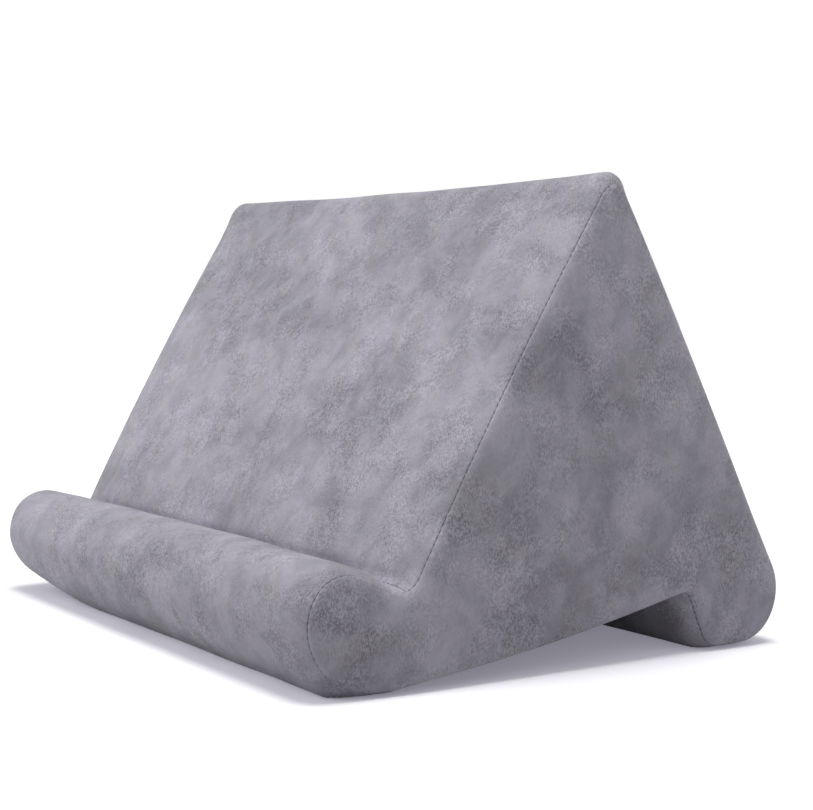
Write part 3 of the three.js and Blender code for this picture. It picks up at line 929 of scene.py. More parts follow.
@dataclass
class CoverForm:
    """The stuffed cover's form: how it stands off the outline across the width."""

    outline: SideOutline
    edge_round: float = 12 * MM
    edge_power: float = 2.4
    ridge_edge_round: float = 6 * MM
    ridge_flare: float = 5.4 * MM
    lip_taper: float = 3 * MM
    left_taper: float = 7 * MM
    corner_lift: float = 9 * MM
    corner_reach: float = 90 * MM
    corner_height: float = 42 * MM
    corner_depth: float = 89 * MM
    taper_from: float = 0.55
    end_lift: float = 1.2 * MM
    lift_reach: float = 16 * MM
    side_rise: float = 3.4 * MM
    side_round: float = 8.5 * MM
    ridge_round: float = 4.4 * MM
    ridge_reach: float = 22 * MM
    ridge_flat: float = 2.2 * MM
    side_crown: float = 1.4 * MM
    cloth: float = 1.1 * MM
    seam: SeamFold = SeamFold()
    hump: float = 0.45 * MM
    hump_size: float = 45 * MM
    pucker: float = 0.22 * MM
    pucker_size: float = 9 * MM
    pucker_reach: float = 7 * MM
    hump_seed: float = 3.1
    pucker_seed: float = 6.4
    end_seed: float = 8.7
    zip_reach: float = 22 * MM
    floor_reach: float = 16 * MM
    swell: SwellField | None = None
    fullness: float = 1.0

    @property
    def half(self) -> float:
        """Half the width between the side seams."""
        return self.outline.width / 2

    def near_ridge(self, travel: Array) -> Array:
        """How near places along the outline are to the ridge, 1 on it."""
        return bell(travel - self.outline.ridge_at, self.ridge_reach)

    def edge(self, x: Array, travel: Array | None = None) -> Array:
        """How far the cover has risen from the side seams, 0 at a seam and 1 away from it."""
        near = 0.0 if travel is None else self.near_ridge(travel)
        reach = self.edge_round + (self.ridge_edge_round - self.edge_round) * near
        return 1 - (1 - clamped((self.half - np.abs(x)) / reach)) ** self.edge_power

    def filled(self, travel: Array) -> Array:
        """Share of the full rise before the simulation, 1 where zip, ridge and floor keep the form."""
        near = np.exp(-(((travel - self.outline.zip_at) / self.zip_reach) ** 4))
        low = bell(self.outline.at(travel).point[..., 1], self.floor_reach)
        return self.fullness + (1 - self.fullness) * np.maximum.reduce([near, low, self.near_ridge(travel)])

    def flared(self, x: Array, y: Array, z: Array) -> Array:
        """Widens the cushion towards its ridge, narrows it towards the lip and lifts its ends off the floor.

        Args:
            x: Places across the width.
            y: Places from front to back.
            z: Heights.

        Returns:
            The points, one row each.
        """
        forward = (-2 * y / self.outline.depth - self.taper_from) / (1 - self.taper_from)
        taper = np.where(x < 0, self.left_taper, self.lip_taper) * eased(clamped(forward))
        wider = self.ridge_flare * z / self.outline.apex_height - taper
        low = clamped(1 - z / self.lift_reach)
        corner = clamped(1 - (self.half + x) / self.corner_reach) * clamped(1 - z / self.corner_height)
        corner = corner * clamped(-y / self.corner_depth)
        lift = self.end_lift * (1 - self.edge(x)) * low ** 2 + self.corner_lift * corner ** 2
        return np.stack(np.broadcast_arrays(x * (1 + wider / self.half), y, z + lift), -1)

    def surface(self, travel: Array, x: Array, drop: Array | float = 0.0) -> Array:
        """Places on the wrap panels.

        Args:
            travel: Distances along the outline.
            x: Places across the width.
            drop: Depth below the outer face.

        Returns:
            The points, in an array of the same shape with a last axis of three.
        """
        at = self.outline.at(travel)
        middle = 1 - (x / self.half) ** 2
        height = at.rise * self.edge(x, travel) * self.filled(travel) + at.swell * middle
        if self.swell:
            height = height + self.swell.on_band(travel, x)
        if self.hump:
            rough = self.flared(x, at.point[..., 0], at.point[..., 1])
            humps = uneven(rough, self.hump_size, self.hump_seed)
            puckers = uneven(rough, self.pucker_size, self.pucker_seed)
            near = clamped((self.half - np.abs(x)) / self.pucker_reach)
            height = height + humps * self.hump * self.edge(x) + puckers * self.pucker * 4 * near * (1 - near)
        flat = at.point + at.normal * (height - drop)[..., None]
        return self.flared(x, flat[..., 0], np.maximum(flat[..., 1], np.maximum(drop, 0.0)))

    def shoulder(self, travel: Array) -> Array:
        """Width of the end panels' rounding, narrower round the ridge."""
        return self.side_round + (self.ridge_round - self.side_round) * self.near_ridge(travel)

    def flat_ring(self, travel: Array, inset: Array | float) -> Array:
        """Places in the side plane that run along the outline, that far inside it."""
        at = self.outline.at(travel)
        flat = at.point - at.normal * np.broadcast_to(inset, travel.shape)[:, None]
        return np.column_stack([flat[:, 0], np.maximum(flat[:, 1], 0.0)])

    def side_ring(self, side: Side, travel: Array, inset: Array | float, outward: Array | float) -> Array:
        """A ring on an end panel, that far inside the outline and that far beyond the seam along X."""
        x = np.broadcast_to(side.value * (self.half + outward), travel.shape)
        return self.flared(x, *self.flat_ring(travel, inset).T)

    def end_rise(self, flat: Array) -> Array:
        """How far an end panel stands beyond the seam at places in the side plane, least at the ridge."""
        apart = np.linalg.norm(flat - self.outline.at(np.array([self.outline.ridge_at])).point, axis=1)
        return self.side_rise - self.ridge_flat * bell(apart, self.ridge_reach)


class EndMembrane:
    """Fills an end panel inside its shoulder ring with even triangles and crowns it."""

    RING_CLEARANCE = 0.6

    def __init__(self, ring: Array, spacing: float) -> None:
        """Spreads points inside the ring and joins them.

        Args:
            ring: Points of the shoulder ring in the side plane.
            spacing: Distance between inner points.
        """
        self.ring_count = count = len(ring)
        self.points = np.vstack([ring, self._inside(ring, spacing)])
        border = [(i, (i + 1) % count) for i in range(count)]
        made = geometry.delaunay_2d_cdt([Vector(p) for p in self.points], border, [], 1, MEMBRANE_MERGE)
        order = [origins[0] for origins in made[3]]
        self.faces = [tuple(order[corner] for corner in face) for face in made[2]]

    def _inside(self, ring: Array, spacing: float) -> Array:
        """Spreads points in a triangle pattern, clear of the ring.

        Args:
            ring: Points of the ring.
            spacing: Distance between points.

        Returns:
            The points inside.
        """
        low, high = ring.min(0), ring.max(0)
        rows = np.arange(low[1], high[1], spacing * math.sqrt(3) / 2)
        cells = np.array([(y + spacing / 2 * (i % 2), z) for i, z in enumerate(rows)
                          for y in np.arange(low[0], high[0], spacing)])
        y, z = cells.T[..., None]
        run = np.roll(ring, -1, axis=0) - ring
        crosses = (ring[:, 1] > z) != (ring[:, 1] + run[:, 1] > z)
        reach = ring[:, 0] + (z - ring[:, 1]) / np.where(crosses, run[:, 1], 1.0) * run[:, 0]
        inside = np.count_nonzero(crosses & (y < reach), axis=1) % 2 == 1
        nearest = np.hypot(ring[:, 0] - y, ring[:, 1] - z).min(axis=1)
        return cells[inside & (nearest > self.RING_CLEARANCE * spacing)]

    def crown(self, rounds: int = 600) -> Array:
        """Relaxes the inner points like a skin under even pressure.

        Args:
            rounds: Number of passes.

        Returns:
            Height of each point, 0 on the ring and 1 at the highest.
        """
        pairs = np.array([(face[i - 1], face[i]) for face in self.faces for i in range(3)])
        pairs = np.unique(np.sort(pairs, axis=1), axis=0)
        both = np.vstack([pairs, pairs[:, ::-1]])
        count = np.bincount(both[:, 0], minlength=len(self.points))
        height = np.zeros(len(self.points))
        for _ in range(rounds):
            around = np.bincount(both[:, 0], weights=height[both[:, 1]], minlength=len(self.points))
            height = around / np.maximum(count, 1) + 1.0
            height[:self.ring_count] = 0.0
        return height / height.max()


@dataclass
class StuffingSimulation:
    """Cloth simulation of the closed cover, blown up against its seams."""

    form: CoverForm
    spacing: float = 6 * MM
    pressure: float = 4.0
    frames: int = 20
    cap: float = 3 * MM
    pin_reach: float = 5 * MM
    zip_reach: float = 18 * MM
    floor_hold: float = 1.5 * MM
    ridge_hold: float = 12 * MM
    start_fullness: float = 0.7

    def run(self) -> SwellField:
        """Simulates the cover.

        Returns:
            The swell that it finds.
        """
        outline, form = self.form.outline, self.form
        rows = round(outline.total / self.spacing)
        columns = round(outline.width / self.spacing) + 1
        travel = np.arange(rows) * outline.total / rows
        x = np.linspace(-form.half, form.half, columns)
        band = form.surface(*np.broadcast_arrays(travel[:, None], x[None, :]))
        vertices = [band.reshape(-1, 3)]
        faces = grid_faces(rows, columns, loop=True)
        pinned = list(np.flatnonzero(self._held(band, travel, x).ravel()))
        start = rows * columns
        caps = {}
        skin = EndMembrane(form.flat_ring(travel, form.shoulder(travel)), self.spacing)
        crown = skin.crown() * form.side_crown * self.start_fullness
        rise = form.end_rise(skin.points)
        for side in Side:
            ring = form.side_ring(side, travel, form.shoulder(travel), rise[:rows])
            across = np.full(len(skin.points), side.value * form.half)
            points = form.flared(across, *skin.points.T)
            points[:, 0] += side.value * (rise + crown)
            points[:rows] = ring
            edge = columns - 1 if side is Side.RIGHT else 0
            rim = np.arange(rows) * columns + edge
            ahead = np.roll(np.arange(rows), -1)
            quads = [(rim[i], start + i, start + ahead[i], rim[ahead[i]]) for i in range(rows)]
            faces += [face[::side.value] for face in quads + shifted(skin.faces, start)]
            pinned.extend(range(start, start + rows))
            caps[side] = slice(start + rows, start + len(points))
            vertices.append(points)
            start += len(points)
        rest = np.vstack(vertices)
        cover = tidy_mesh(mesh_object("stuffed_cover", rest, faces), FINE_MERGE)
        moved = self._blow_up(cover, pinned) - rest
        normals = outline.at(travel).normal
        outward = (moved[:rows * columns].reshape(rows, columns, 3)[..., 1:] * normals[:, None, :]).sum(-1)
        sides = {side: self._capped(moved[caps[side], 0] * side.value) for side in Side}
        LOG.info("simulated swell: band up to %.2f mm, ends up to %.2f mm", outward.max() / MM,
                 max(swell.max() for swell in sides.values()) / MM)
        return SwellField(outline.total / rows, x[1] - x[0], form.half, self._capped(outward),
                          skin.points[rows:], sides)

    def _capped(self, swell: Array) -> Array:
        """Keeps the swell softly within the cap."""
        return self.cap * np.tanh(swell / self.cap)

    def _held(self, band: Array, travel: Array, x: Array) -> Array:
        """Finds where seams, the floor, the ridge and the zip hold the cover.

        Args:
            band: Points of the wrap panels.
            travel: Distances along the outline.
            x: Places across the width.

        Returns:
            A mask of the held points.
        """
        outline = self.form.outline
        held = np.zeros(band.shape[:2], bool)
        held[outline.from_seam(travel) < self.pin_reach] = True
        held[np.abs(travel - outline.zip_at) < self.zip_reach] = True
        held[:, (0, -1)] = True
        held |= band[..., 2] < self.floor_hold
        held |= band[..., 2] > outline.apex_height - self.ridge_hold
        return held

    def _blow_up(self, cover: Object, pinned: Sequence[int]) -> Array:
        """Runs the cloth and takes its last shape.

        Args:
            cover: The closed cover, which is removed afterwards.
            pinned: Numbers of the held points.

        Returns:
            The points after the simulation.
        """
        group = cover.vertex_groups.new(name="held")
        group.add([int(number) for number in pinned], 1.0, "REPLACE")
        cloth = cover.modifiers.new("stuffing", "CLOTH")
        settings = cloth.settings
        settings.quality = 6
        settings.mass = 0.3
        settings.tension_stiffness = 18
        settings.compression_stiffness = 18
        settings.shear_stiffness = 8
        settings.bending_stiffness = 0.6
        settings.use_pressure = True
        settings.uniform_pressure_force = self.pressure
        settings.vertex_group_mass = "held"
        settings.effector_weights.gravity = 0.0
        cloth.point_cache.frame_end = self.frames
        scene = bpy.context.scene
        for number in range(1, self.frames + 1):
            scene.frame_set(number)
        shown = cover.evaluated_get(bpy.context.evaluated_depsgraph_get())
        points = np.empty(len(shown.data.vertices) * 3)
        shown.data.vertices.foreach_get("co", points)
        scene.frame_set(1)
        bpy.data.objects.remove(cover)
        return points.reshape(-1, 3)


@dataclass
class ZipSizes:
    """Sizes of the zip, and its place on the back."""

    length: float = 250 * MM
    window_half_width: float = 6 * MM
    window_half_length: float = 130 * MM
    window_point: float = 7 * MM
    point_lead: float = 0.2
    tape_width: float = 14 * MM
    tape_tail: float = 6 * MM
    tape_thickness: float = 0.6 * MM
    tape_top: float = -2.3 * MM
    coil_bottom: float = -2.0 * MM
    coil_top: float = 0.2 * MM
    coil_inner: float = 0.17 * MM
    coil_outer: float = 3.1 * MM
    coil_pitch: float = 1.25 * MM
    wire: float = 0.4 * MM
    stitch_inset: float = 3 * MM
    tape_gap: float = 0.18 * MM

    def opening(self, x: Array) -> Array:
        """Half width of the opening at places across the cushion, pointed at both ends."""
        past = clamped((np.abs(x) - self.window_half_length) / self.window_point + self.point_lead)
        return self.window_half_width * (1 - eased(past))


@dataclass
class WrapPanels:
    """The four panels that wrap round the cushion from side seam to side seam."""

    form: CoverForm
    zip_sizes: ZipSizes
    longest: float = 3.2 * MM
    sharpest: float = 6.0
    zip_fold: SeamFold = SeamFold(roll=1.0 * MM, depth=1.9 * MM)
    stitch_dent: float = 0.3 * MM
    dent_reach: float = 0.9 * MM
    dent_past_window: float = 2 * MM
    dent_rows: tuple[float, ...] = (-1.6 * MM, -0.8 * MM, 0.0, 0.8 * MM, 1.6 * MM)
    dent_clearance: float = 2.5 * MM
    row_margin: float = 3 * MM
    edge_columns: tuple[float, ...] = (12.5, 10.0, 8.0, 6.2, 4.7, 3.4, 2.4, 1.6)
    window_columns: tuple[float, float, int] = (-2.5 * MM, 7.5 * MM, 9)
    middle_columns: int = 29
    middle_end: float = 4.5 * MM

    def _spans(self) -> dict[Panel, Pair]:
        """Start and end of each panel along the outline."""
        outline = self.form.outline
        return {Panel.MAIN: (0.0, outline.zip_at), Panel.FOOT: (outline.zip_at, outline.notch_at),
                Panel.BASE: (outline.notch_at, outline.base_seam_at),
                Panel.LIP: (outline.base_seam_at, outline.total)}

    def _columns(self) -> tuple[Array, Array]:
        """Spaces columns across the width, closer at the zip's ends and the side seams.

        Returns:
            Places across the width and the drop at each.
        """
        half, window = self.form.half, self.zip_sizes.window_half_length
        fold = self.form.seam.profile()[::-1]
        right = [*np.linspace(0, window - self.middle_end, self.middle_columns),
                 *(window + np.linspace(*self.window_columns)), *(half - np.array(self.edge_columns) * MM)]
        x = np.array(right + [half - offset for offset, _ in fold])
        drop = np.array([0.0] * len(right) + [drop for _, drop in fold])
        return np.concatenate([-x[:0:-1], x]), np.concatenate([drop[:0:-1], drop])

    def _rows(self, panel: Panel) -> list[tuple[float, float, float]]:
        """Spaces rows along a panel, closer at its seams and beside the zip's stitching.

        Args:
            panel: Which panel.

        Returns:
            Share of the way, offset along the outline and drop of each row.
        """
        start, end = self._spans()[panel]
        first = self.zip_fold if panel is Panel.FOOT else self.form.seam
        last = self.zip_fold if panel is Panel.MAIN else self.form.seam
        rows = [(0.0, offset, drop) for offset, drop in first.profile()]
        middle = self.form.outline.stations(start + self.row_margin, end - self.row_margin, self.longest,
                                            self.sharpest)
        near, line = np.array(self.dent_rows), self.zip_sizes.stitch_inset
        if panel is Panel.FOOT:
            middle = [*(start + line + near), *middle[middle > start + line + self.dent_clearance]]
        if panel is Panel.MAIN:
            middle = [*middle[middle < end - line - self.dent_clearance], *(end - line + near)]
        rows += [((s - start) / (end - start), 0.0, 0.0) for s in middle]
        return rows + [(1.0, -offset, drop) for offset, drop in reversed(last.profile())]

    def build(self, panel: Panel) -> Object:
        """Makes one panel as a closed thin shell.

        Args:
            panel: Which panel.

        Returns:
            The panel.
        """
        x, across = self._columns()
        share, offset, drop = (np.array(values)[:, None] for values in zip(*self._rows(panel)))
        start, end = (np.full(x.shape, value) for value in self._spans()[panel])
        opening = self.zip_sizes.opening(x)
        if panel is Panel.MAIN:
            end = end - opening
        if panel is Panel.FOOT:
            start = start + opening
        travel = start * (1 - share) + end * share + offset
        depth = np.maximum(drop, across[None, :])
        depth = depth + self._dents(panel, travel, x, start, end)
        points = self.form.surface(travel, np.broadcast_to(x, travel.shape), depth)
        made = mesh_object(panel.value.replace("_panel", "_cover"), points.reshape(-1, 3),
                           grid_faces(*travel.shape))
        thicken(made, self.form.cloth)
        return made

    def _dents(self, panel: Panel, travel: Array, x: Array, start: Array, end: Array) -> Array:
        """Shallow groove that the zip's stitching pulls into the cloth.

        Args:
            panel: Which panel.
            travel: Distances along the outline.
            x: Places across the width.
            start: The panel's start at each place.
            end: The panel's end at each place.

        Returns:
            The depth of the groove at each place.
        """
        inset = self.zip_sizes.stitch_inset
        if panel not in (Panel.MAIN, Panel.FOOT):
            return np.zeros(travel.shape)
        away = travel - (end - inset) if panel is Panel.MAIN else travel - (start + inset)
        within = np.abs(x) < self.zip_sizes.window_half_length + self.dent_past_window
        return self.stitch_dent * bell(away, self.dent_reach) * within


def thicken(piece: Object, cloth: float) -> None:
    """Gives a sheet the cloth's thickness, inward.

    Args:
        piece: The sheet.
        cloth: Its thickness.
    """
    shell = piece.modifiers.new("cloth", "SOLIDIFY")
    shell.thickness = cloth
    shell.offset = -1.0
    shell.use_rim = True


@dataclass
class EndPanels:
    """The two end panels, softly rounded at their seams and crowned between."""

    form: CoverForm
    spacing: float = 4.5 * MM
    round_steps: int = 6
    longest: float = 3 * MM
    sharpest: float = 6.0

    def build(self, side: Side) -> Object:
        """Makes one end panel as a closed thin shell.

        Args:
            side: Which end.

        Returns:
            The panel.
        """
        form = self.form
        outline = form.outline
        travel = outline.stations(0, outline.total, self.longest, self.sharpest)[:-1]
        rings = [(drop, offset) for offset, drop in form.seam.profile()]
        edge = rings[-1][1]
        skin = EndMembrane(form.flat_ring(travel, form.shoulder(travel)), self.spacing)
        rise = form.end_rise(skin.points[:skin.ring_count])
        for step in range(1, self.round_steps + 1):
            turn = math.radians(90 * step / self.round_steps)
            rings.append((form.shoulder(travel) * (1 - math.cos(turn)),
                          edge + (rise - edge) * math.sin(turn)))
        loops = [form.side_ring(side, travel, inset, outward) for inset, outward in rings]
        inner = skin.points[skin.ring_count:]
        lift = form.side_crown * form.fullness * skin.crown()[skin.ring_count:]
        if form.swell:
            lift = lift + form.swell.on_side(side, inner)
        across = np.full(len(inner), side.value * form.half)
        raised = form.flared(across, *inner.T)
        humps = uneven(raised, form.hump_size, form.end_seed * side.value) * form.hump
        raised[:, 0] += side.value * (form.end_rise(inner) + lift + humps)
        vertices = np.vstack([*loops, raised])
        faces = grid_faces(len(loops), len(travel), ring=True)
        faces += shifted(skin.faces, (len(loops) - 1) * len(travel))
        made = tidy_mesh(mesh_object(f"side_cover_{side.name.lower()}", vertices, faces))
        if sum(face.normal.x * face.area for face in made.data.polygons) * side.value < 0:
            made.data.flip_normals()
        thicken(made, form.cloth)
        return made


# Stitches


def tube(path: Array, side: Array, up: Array, radius: Array | float, sides: int) -> Array:
    """Lays rings of points round a path.

    Args:
        path: Points on its middle line.
        side: First direction across it, for each point.
        up: Second direction across it, for each point.
        radius: Its radius, for all points or for each.
        sides: Points in a ring.

    Returns:
        The rings, in an array of rings, points and coordinates.
    """
    turns = np.arange(sides)[:, None] * 2 * math.pi / sides
    spokes = np.cos(turns) * side[:, None] + np.sin(turns) * up[:, None]
    return path[:, None] + np.reshape(radius, (-1, 1, 1)) * spokes


@dataclass(frozen=True)
class Stitching:
    """A row of short stitches, each a rounded bar that dips in at both ends."""

    length: float = 2.1 * MM
    gap: float = 1.0 * MM
    radius: float = 0.2 * MM
    bow: float = 0.15 * MM
    tip: float = 0.1 * MM
    taper: float = 1.9
    sides: int = 6
    rings: int = 5

    def build(self, name: str, path: Array, outward: Array, closed: bool) -> Object:
        """Lays stitches along a path.

        Args:
            name: The piece's name.
            path: Points that the stitches follow.
            outward: Direction out of the cloth at each point.
            closed: Whether the path closes on itself.

        Returns:
            The row of stitches.
        """
        if closed:
            path, outward = np.vstack([path, path[:1]]), np.vstack([outward, outward[:1]])
        travel = np.concatenate([[0], np.cumsum(np.linalg.norm(np.diff(path, axis=0), axis=1))])
        count = int(travel[-1] // (self.length + self.gap))
        pitch = travel[-1] / count
        shares = np.linspace(-0.5, 0.5, self.rings)
        dip = (self.bow * (1 - 8 * shares ** 2))[:, None]
        thick = self.radius * np.sqrt(1 - (self.taper * shares) ** 4)
        tip, last = self.rings * self.sides, (self.rings - 1) * self.sides
        stitch = grid_faces(self.rings, self.sides, ring=True)
        for i in range(self.sides):
            j = (i + 1) % self.sides
            stitch += [(tip, j, i), (tip + 1, last + i, last + j)]
        vertices, faces = [], []
        for number in range(count):
            at = (number + 0.5) * pitch + shares * self.length
            centre = np.column_stack([np.interp(at, travel, column) for column in path.T])
            up = np.column_stack([np.interp(at, travel, column) for column in outward.T])
            along = unit(centre[-1] - centre[0])
            centre = centre + up * dip
            rings = tube(centre, unit(np.cross(along, up)), up, thick, self.sides)
            faces += shifted(stitch, len(vertices))
            vertices += [*rings.reshape(-1, 3), centre[0] - along * self.tip, centre[-1] + along * self.tip]
        return tidy_mesh(mesh_object(name, np.array(vertices), faces), FINE_MERGE)


@dataclass
class SeamStitches:
    """The stitches that show in the seams of the cover."""

    form: CoverForm
    stitching: Stitching = Stitching()
    sink: float = 0.28 * MM
    step: float = 1 * MM
    end_gap: float = 5 * MM
    cross_points: int = 200

    def side_seam(self, side: Side) -> Object:
        """Stitches of the seam round one end.

        Args:
            side: Which end.

        Returns:
            The row of stitches.
        """
        outline = self.form.outline
        travel = np.arange(0, outline.total, self.step)
        path = self.form.side_ring(side, travel, self.sink, 0.0)
        normal = outline.at(travel).normal
        outward = np.column_stack([np.zeros(len(travel)), normal])
        return self.stitching.build(f"side_stitches_{side.name.lower()}", path, outward, True)

    def cross_seam(self, name: str, place: float) -> Object:
        """Stitches of a seam across the width.

        Args:
            name: The piece's name.
            place: Its distance along the outline.

        Returns:
            The row of stitches.
        """
        reach = self.form.half - self.end_gap
        x = np.linspace(-reach, reach, self.cross_points)
        travel = np.full(x.shape, place)
        normal = self.form.outline.at(travel[:1]).normal[0]
        outward = np.tile([0.0, *normal], (len(x), 1))
        return self.stitching.build(name, self.form.surface(travel, x, self.sink), outward, False)


# Foam


@dataclass
class FoamBlocks:
    """The three foam blocks inside the cover."""

    form: CoverForm
    zip_sizes: ZipSizes
    clear: float = 2.3 * MM
    cut_gap: float = 0.15 * MM
    trough: float = 4.4 * MM
    trough_half: float = 16 * MM
    trough_slope: float = 5 * MM
    trough_past_tape: float = 3 * MM
    trough_end: float = 4 * MM
    seam_press: float = 3 * MM
    seam_reach: float = 9 * MM
    longest: float = 7 * MM
    sharpest: float = 12.0
    side_gap: float = 0.6 * MM
    edge_round: float = 4 * MM
    edge_columns: int = 6
    middle_columns: int = 25

    def _block(self, name: str, spans: Sequence[Pair]) -> Object:
        """Makes one block through loops across the width.

        Args:
            name: The block's name.
            spans: Runs of the outline that it fills, in order.

        Returns:
            The block.
        """
        outline, form = self.form.outline, self.form
        runs = [outline.stations(start + self.cut_gap, end - self.cut_gap, self.longest, self.sharpest)
                for start, end in spans]
        inner = form.half - form.seam.roll - form.cloth - self.side_gap
        straight = inner - form.edge_round
        side = np.linspace(straight, inner, self.edge_columns)[1:]
        x = np.concatenate([-side[::-1], np.linspace(-straight, straight, self.middle_columns), side])
        travel, across = np.broadcast_arrays(np.concatenate(runs)[:, None], x[None, :])
        edge = 1 - clamped((inner - np.abs(across)) / self.edge_round)
        depth = self.clear + self._trough(travel, across) + self.edge_round * (1 - np.sqrt(1 - edge ** 2))
        points = form.surface(travel, across, depth).transpose(1, 0, 2)
        loops, count, _ = points.shape
        faces = grid_faces(loops, count, ring=True)
        vertices = points.reshape(-1, 3)
        for start in (0, (loops - 1) * count):
            flat = [Vector((p[1], p[2], 0)) for p in vertices[start:start + count]]
            faces += shifted(geometry.tessellate_polygon([flat]), start)
        return tidy_mesh(mesh_object(name, vertices, faces), FINE_MERGE)

    def _trough(self, travel: Array, x: Array) -> Array:
        """Hollows where the slider runs behind the tape and where the cross seams press in.

        Args:
            travel: Distances along the outline.
            x: Places across the width.

        Returns:
            The depth of the hollow.
        """
        outline, sizes = self.form.outline, self.zip_sizes
        near = clamped((self.trough_half - np.abs(travel - outline.zip_at)) / self.trough_slope)
        reach = sizes.window_half_length + sizes.tape_tail + self.trough_past_tape
        within = clamped((reach - np.abs(x)) / self.trough_end)
        press = self.seam_press * clamped(1 - outline.from_seam(travel) / self.seam_reach)
        return self.trough * near * within + press

    def build(self) -> dict[str, Object]:
        """Makes all three blocks, by the node that each stands for."""
        outline = self.form.outline
        return {
            "wedge_foam": self._block("wedge_filling", [(0.0, outline.foot_cut_at),
                                                        (outline.notch_at, outline.base_seam_at)]),
            "lip_foam": self._block("lip_filling", [(outline.base_seam_at, outline.total)]),
            "foot_foam": self._block("foot_filling", [(outline.foot_cut_at, outline.notch_at)]),
        }


# Zip


def shown_mesh(piece: Object) -> bpy.types.Mesh:
    """Takes an object's mesh with its modifiers applied."""
    return bpy.data.meshes.new_from_object(piece.evaluated_get(bpy.context.evaluated_depsgraph_get()))


def loft(name: str, loops: Array) -> Object:
    """Joins equal loops of points into a closed bar with flat ends.

    Args:
        name: The piece's name.
        loops: Points of each loop, in an array of loops, points and coordinates.

    Returns:
        The bar.
    """
    count, size, _ = loops.shape
    faces = grid_faces(count, size, ring=True)
    faces += [tuple(range(size)), tuple(range((count - 1) * size, count * size))]
    return tidy_mesh(mesh_object(name, loops.reshape(-1, 3), faces), FINE_MERGE)


def mirrored(half: Sequence[Corner], middle: Sequence[Corner] = ()) -> list[Corner]:
    """Completes half an outline by its mirror image, with corners on the middle line where they meet."""
    return [(x, -y, cut) for x, y, cut in half] + [*middle] + [*reversed(half)]


def softened(corners: Sequence[Corner], steps: int = 7) -> list[Pair]:
    """Rounds the corners of a flat outline.

    Args:
        corners: Place of each corner and how far from it the rounding starts.
        steps: Points on each rounding.

    Returns:
        The rounded outline.
    """
    points = [np.array(corner[:2]) for corner in corners]
    outline = []
    for number, (corner, (_, _, cut)) in enumerate(zip(points, corners)):
        before, after = points[number - 1], points[(number + 1) % len(points)]
        start, end = corner + unit(before - corner) * cut, corner + unit(after - corner) * cut
        for t in np.linspace(0, 1, steps):
            outline.append(tuple((1 - t) ** 2 * start + 2 * t * (1 - t) * corner + t ** 2 * end))
    return outline


def ring_outline(radius: float, steps: int = 28) -> list[Pair]:
    """Points of a circle round the origin."""
    return [tuple(radius * heading(360 * step / steps)) for step in range(steps)]


def plate(name: str, outline: Sequence[Pair], thickness: float, bevel: float,
          holes: Sequence[Sequence[Pair]] = ()) -> Object:
    """Makes a flat plate with rounded edges, its middle at height 0.

    Args:
        name: The piece's name.
        outline: Its outline in plan.
        thickness: Its thickness.
        bevel: Radius of its rounded edges.
        holes: Outlines of its holes.

    Returns:
        The plate.
    """
    curve = bpy.data.curves.new(name, "CURVE")
    curve.dimensions = "2D"
    curve.fill_mode = "BOTH"
    curve.extrude = (thickness / 2 - bevel) / MM
    curve.bevel_depth = bevel / MM
    curve.bevel_resolution = 2
    curve.offset = -bevel / MM
    for loop in (outline, *holes):
        spline = curve.splines.new("POLY")
        spline.points.add(len(loop) - 1)
        spline.points.foreach_set("co", [value for x, y in loop for value in (x / MM, y / MM, 0, 1)])
        spline.use_cyclic_u = True
    drawn = link(name, curve)
    mesh = shown_mesh(drawn)
    bpy.data.objects.remove(drawn)
    mesh.transform(Matrix.Scale(MM, 4))
    return tidy_mesh(link(name, mesh))


SHARP_EDGE = math.radians(38)


def joined(name: str, pieces: Sequence[Object]) -> Object:
    """Fuses overlapping pieces into one.

    Args:
        name: Name of the result.
        pieces: The pieces, which are used up.

    Returns:
        The fused piece.
    """
    first, *others = pieces
    for other in others:
        fuse = first.modifiers.new("fuse", "BOOLEAN")
        fuse.operation = "UNION"
        fuse.solver = "MANIFOLD"
        fuse.object = other
    mesh = shown_mesh(first)
    for piece in pieces:
        bpy.data.objects.remove(piece)
    mesh.shade_smooth()
    mesh.set_sharp_from_angle(angle=SHARP_EDGE)
    mesh.name = name
    return link(name, mesh)


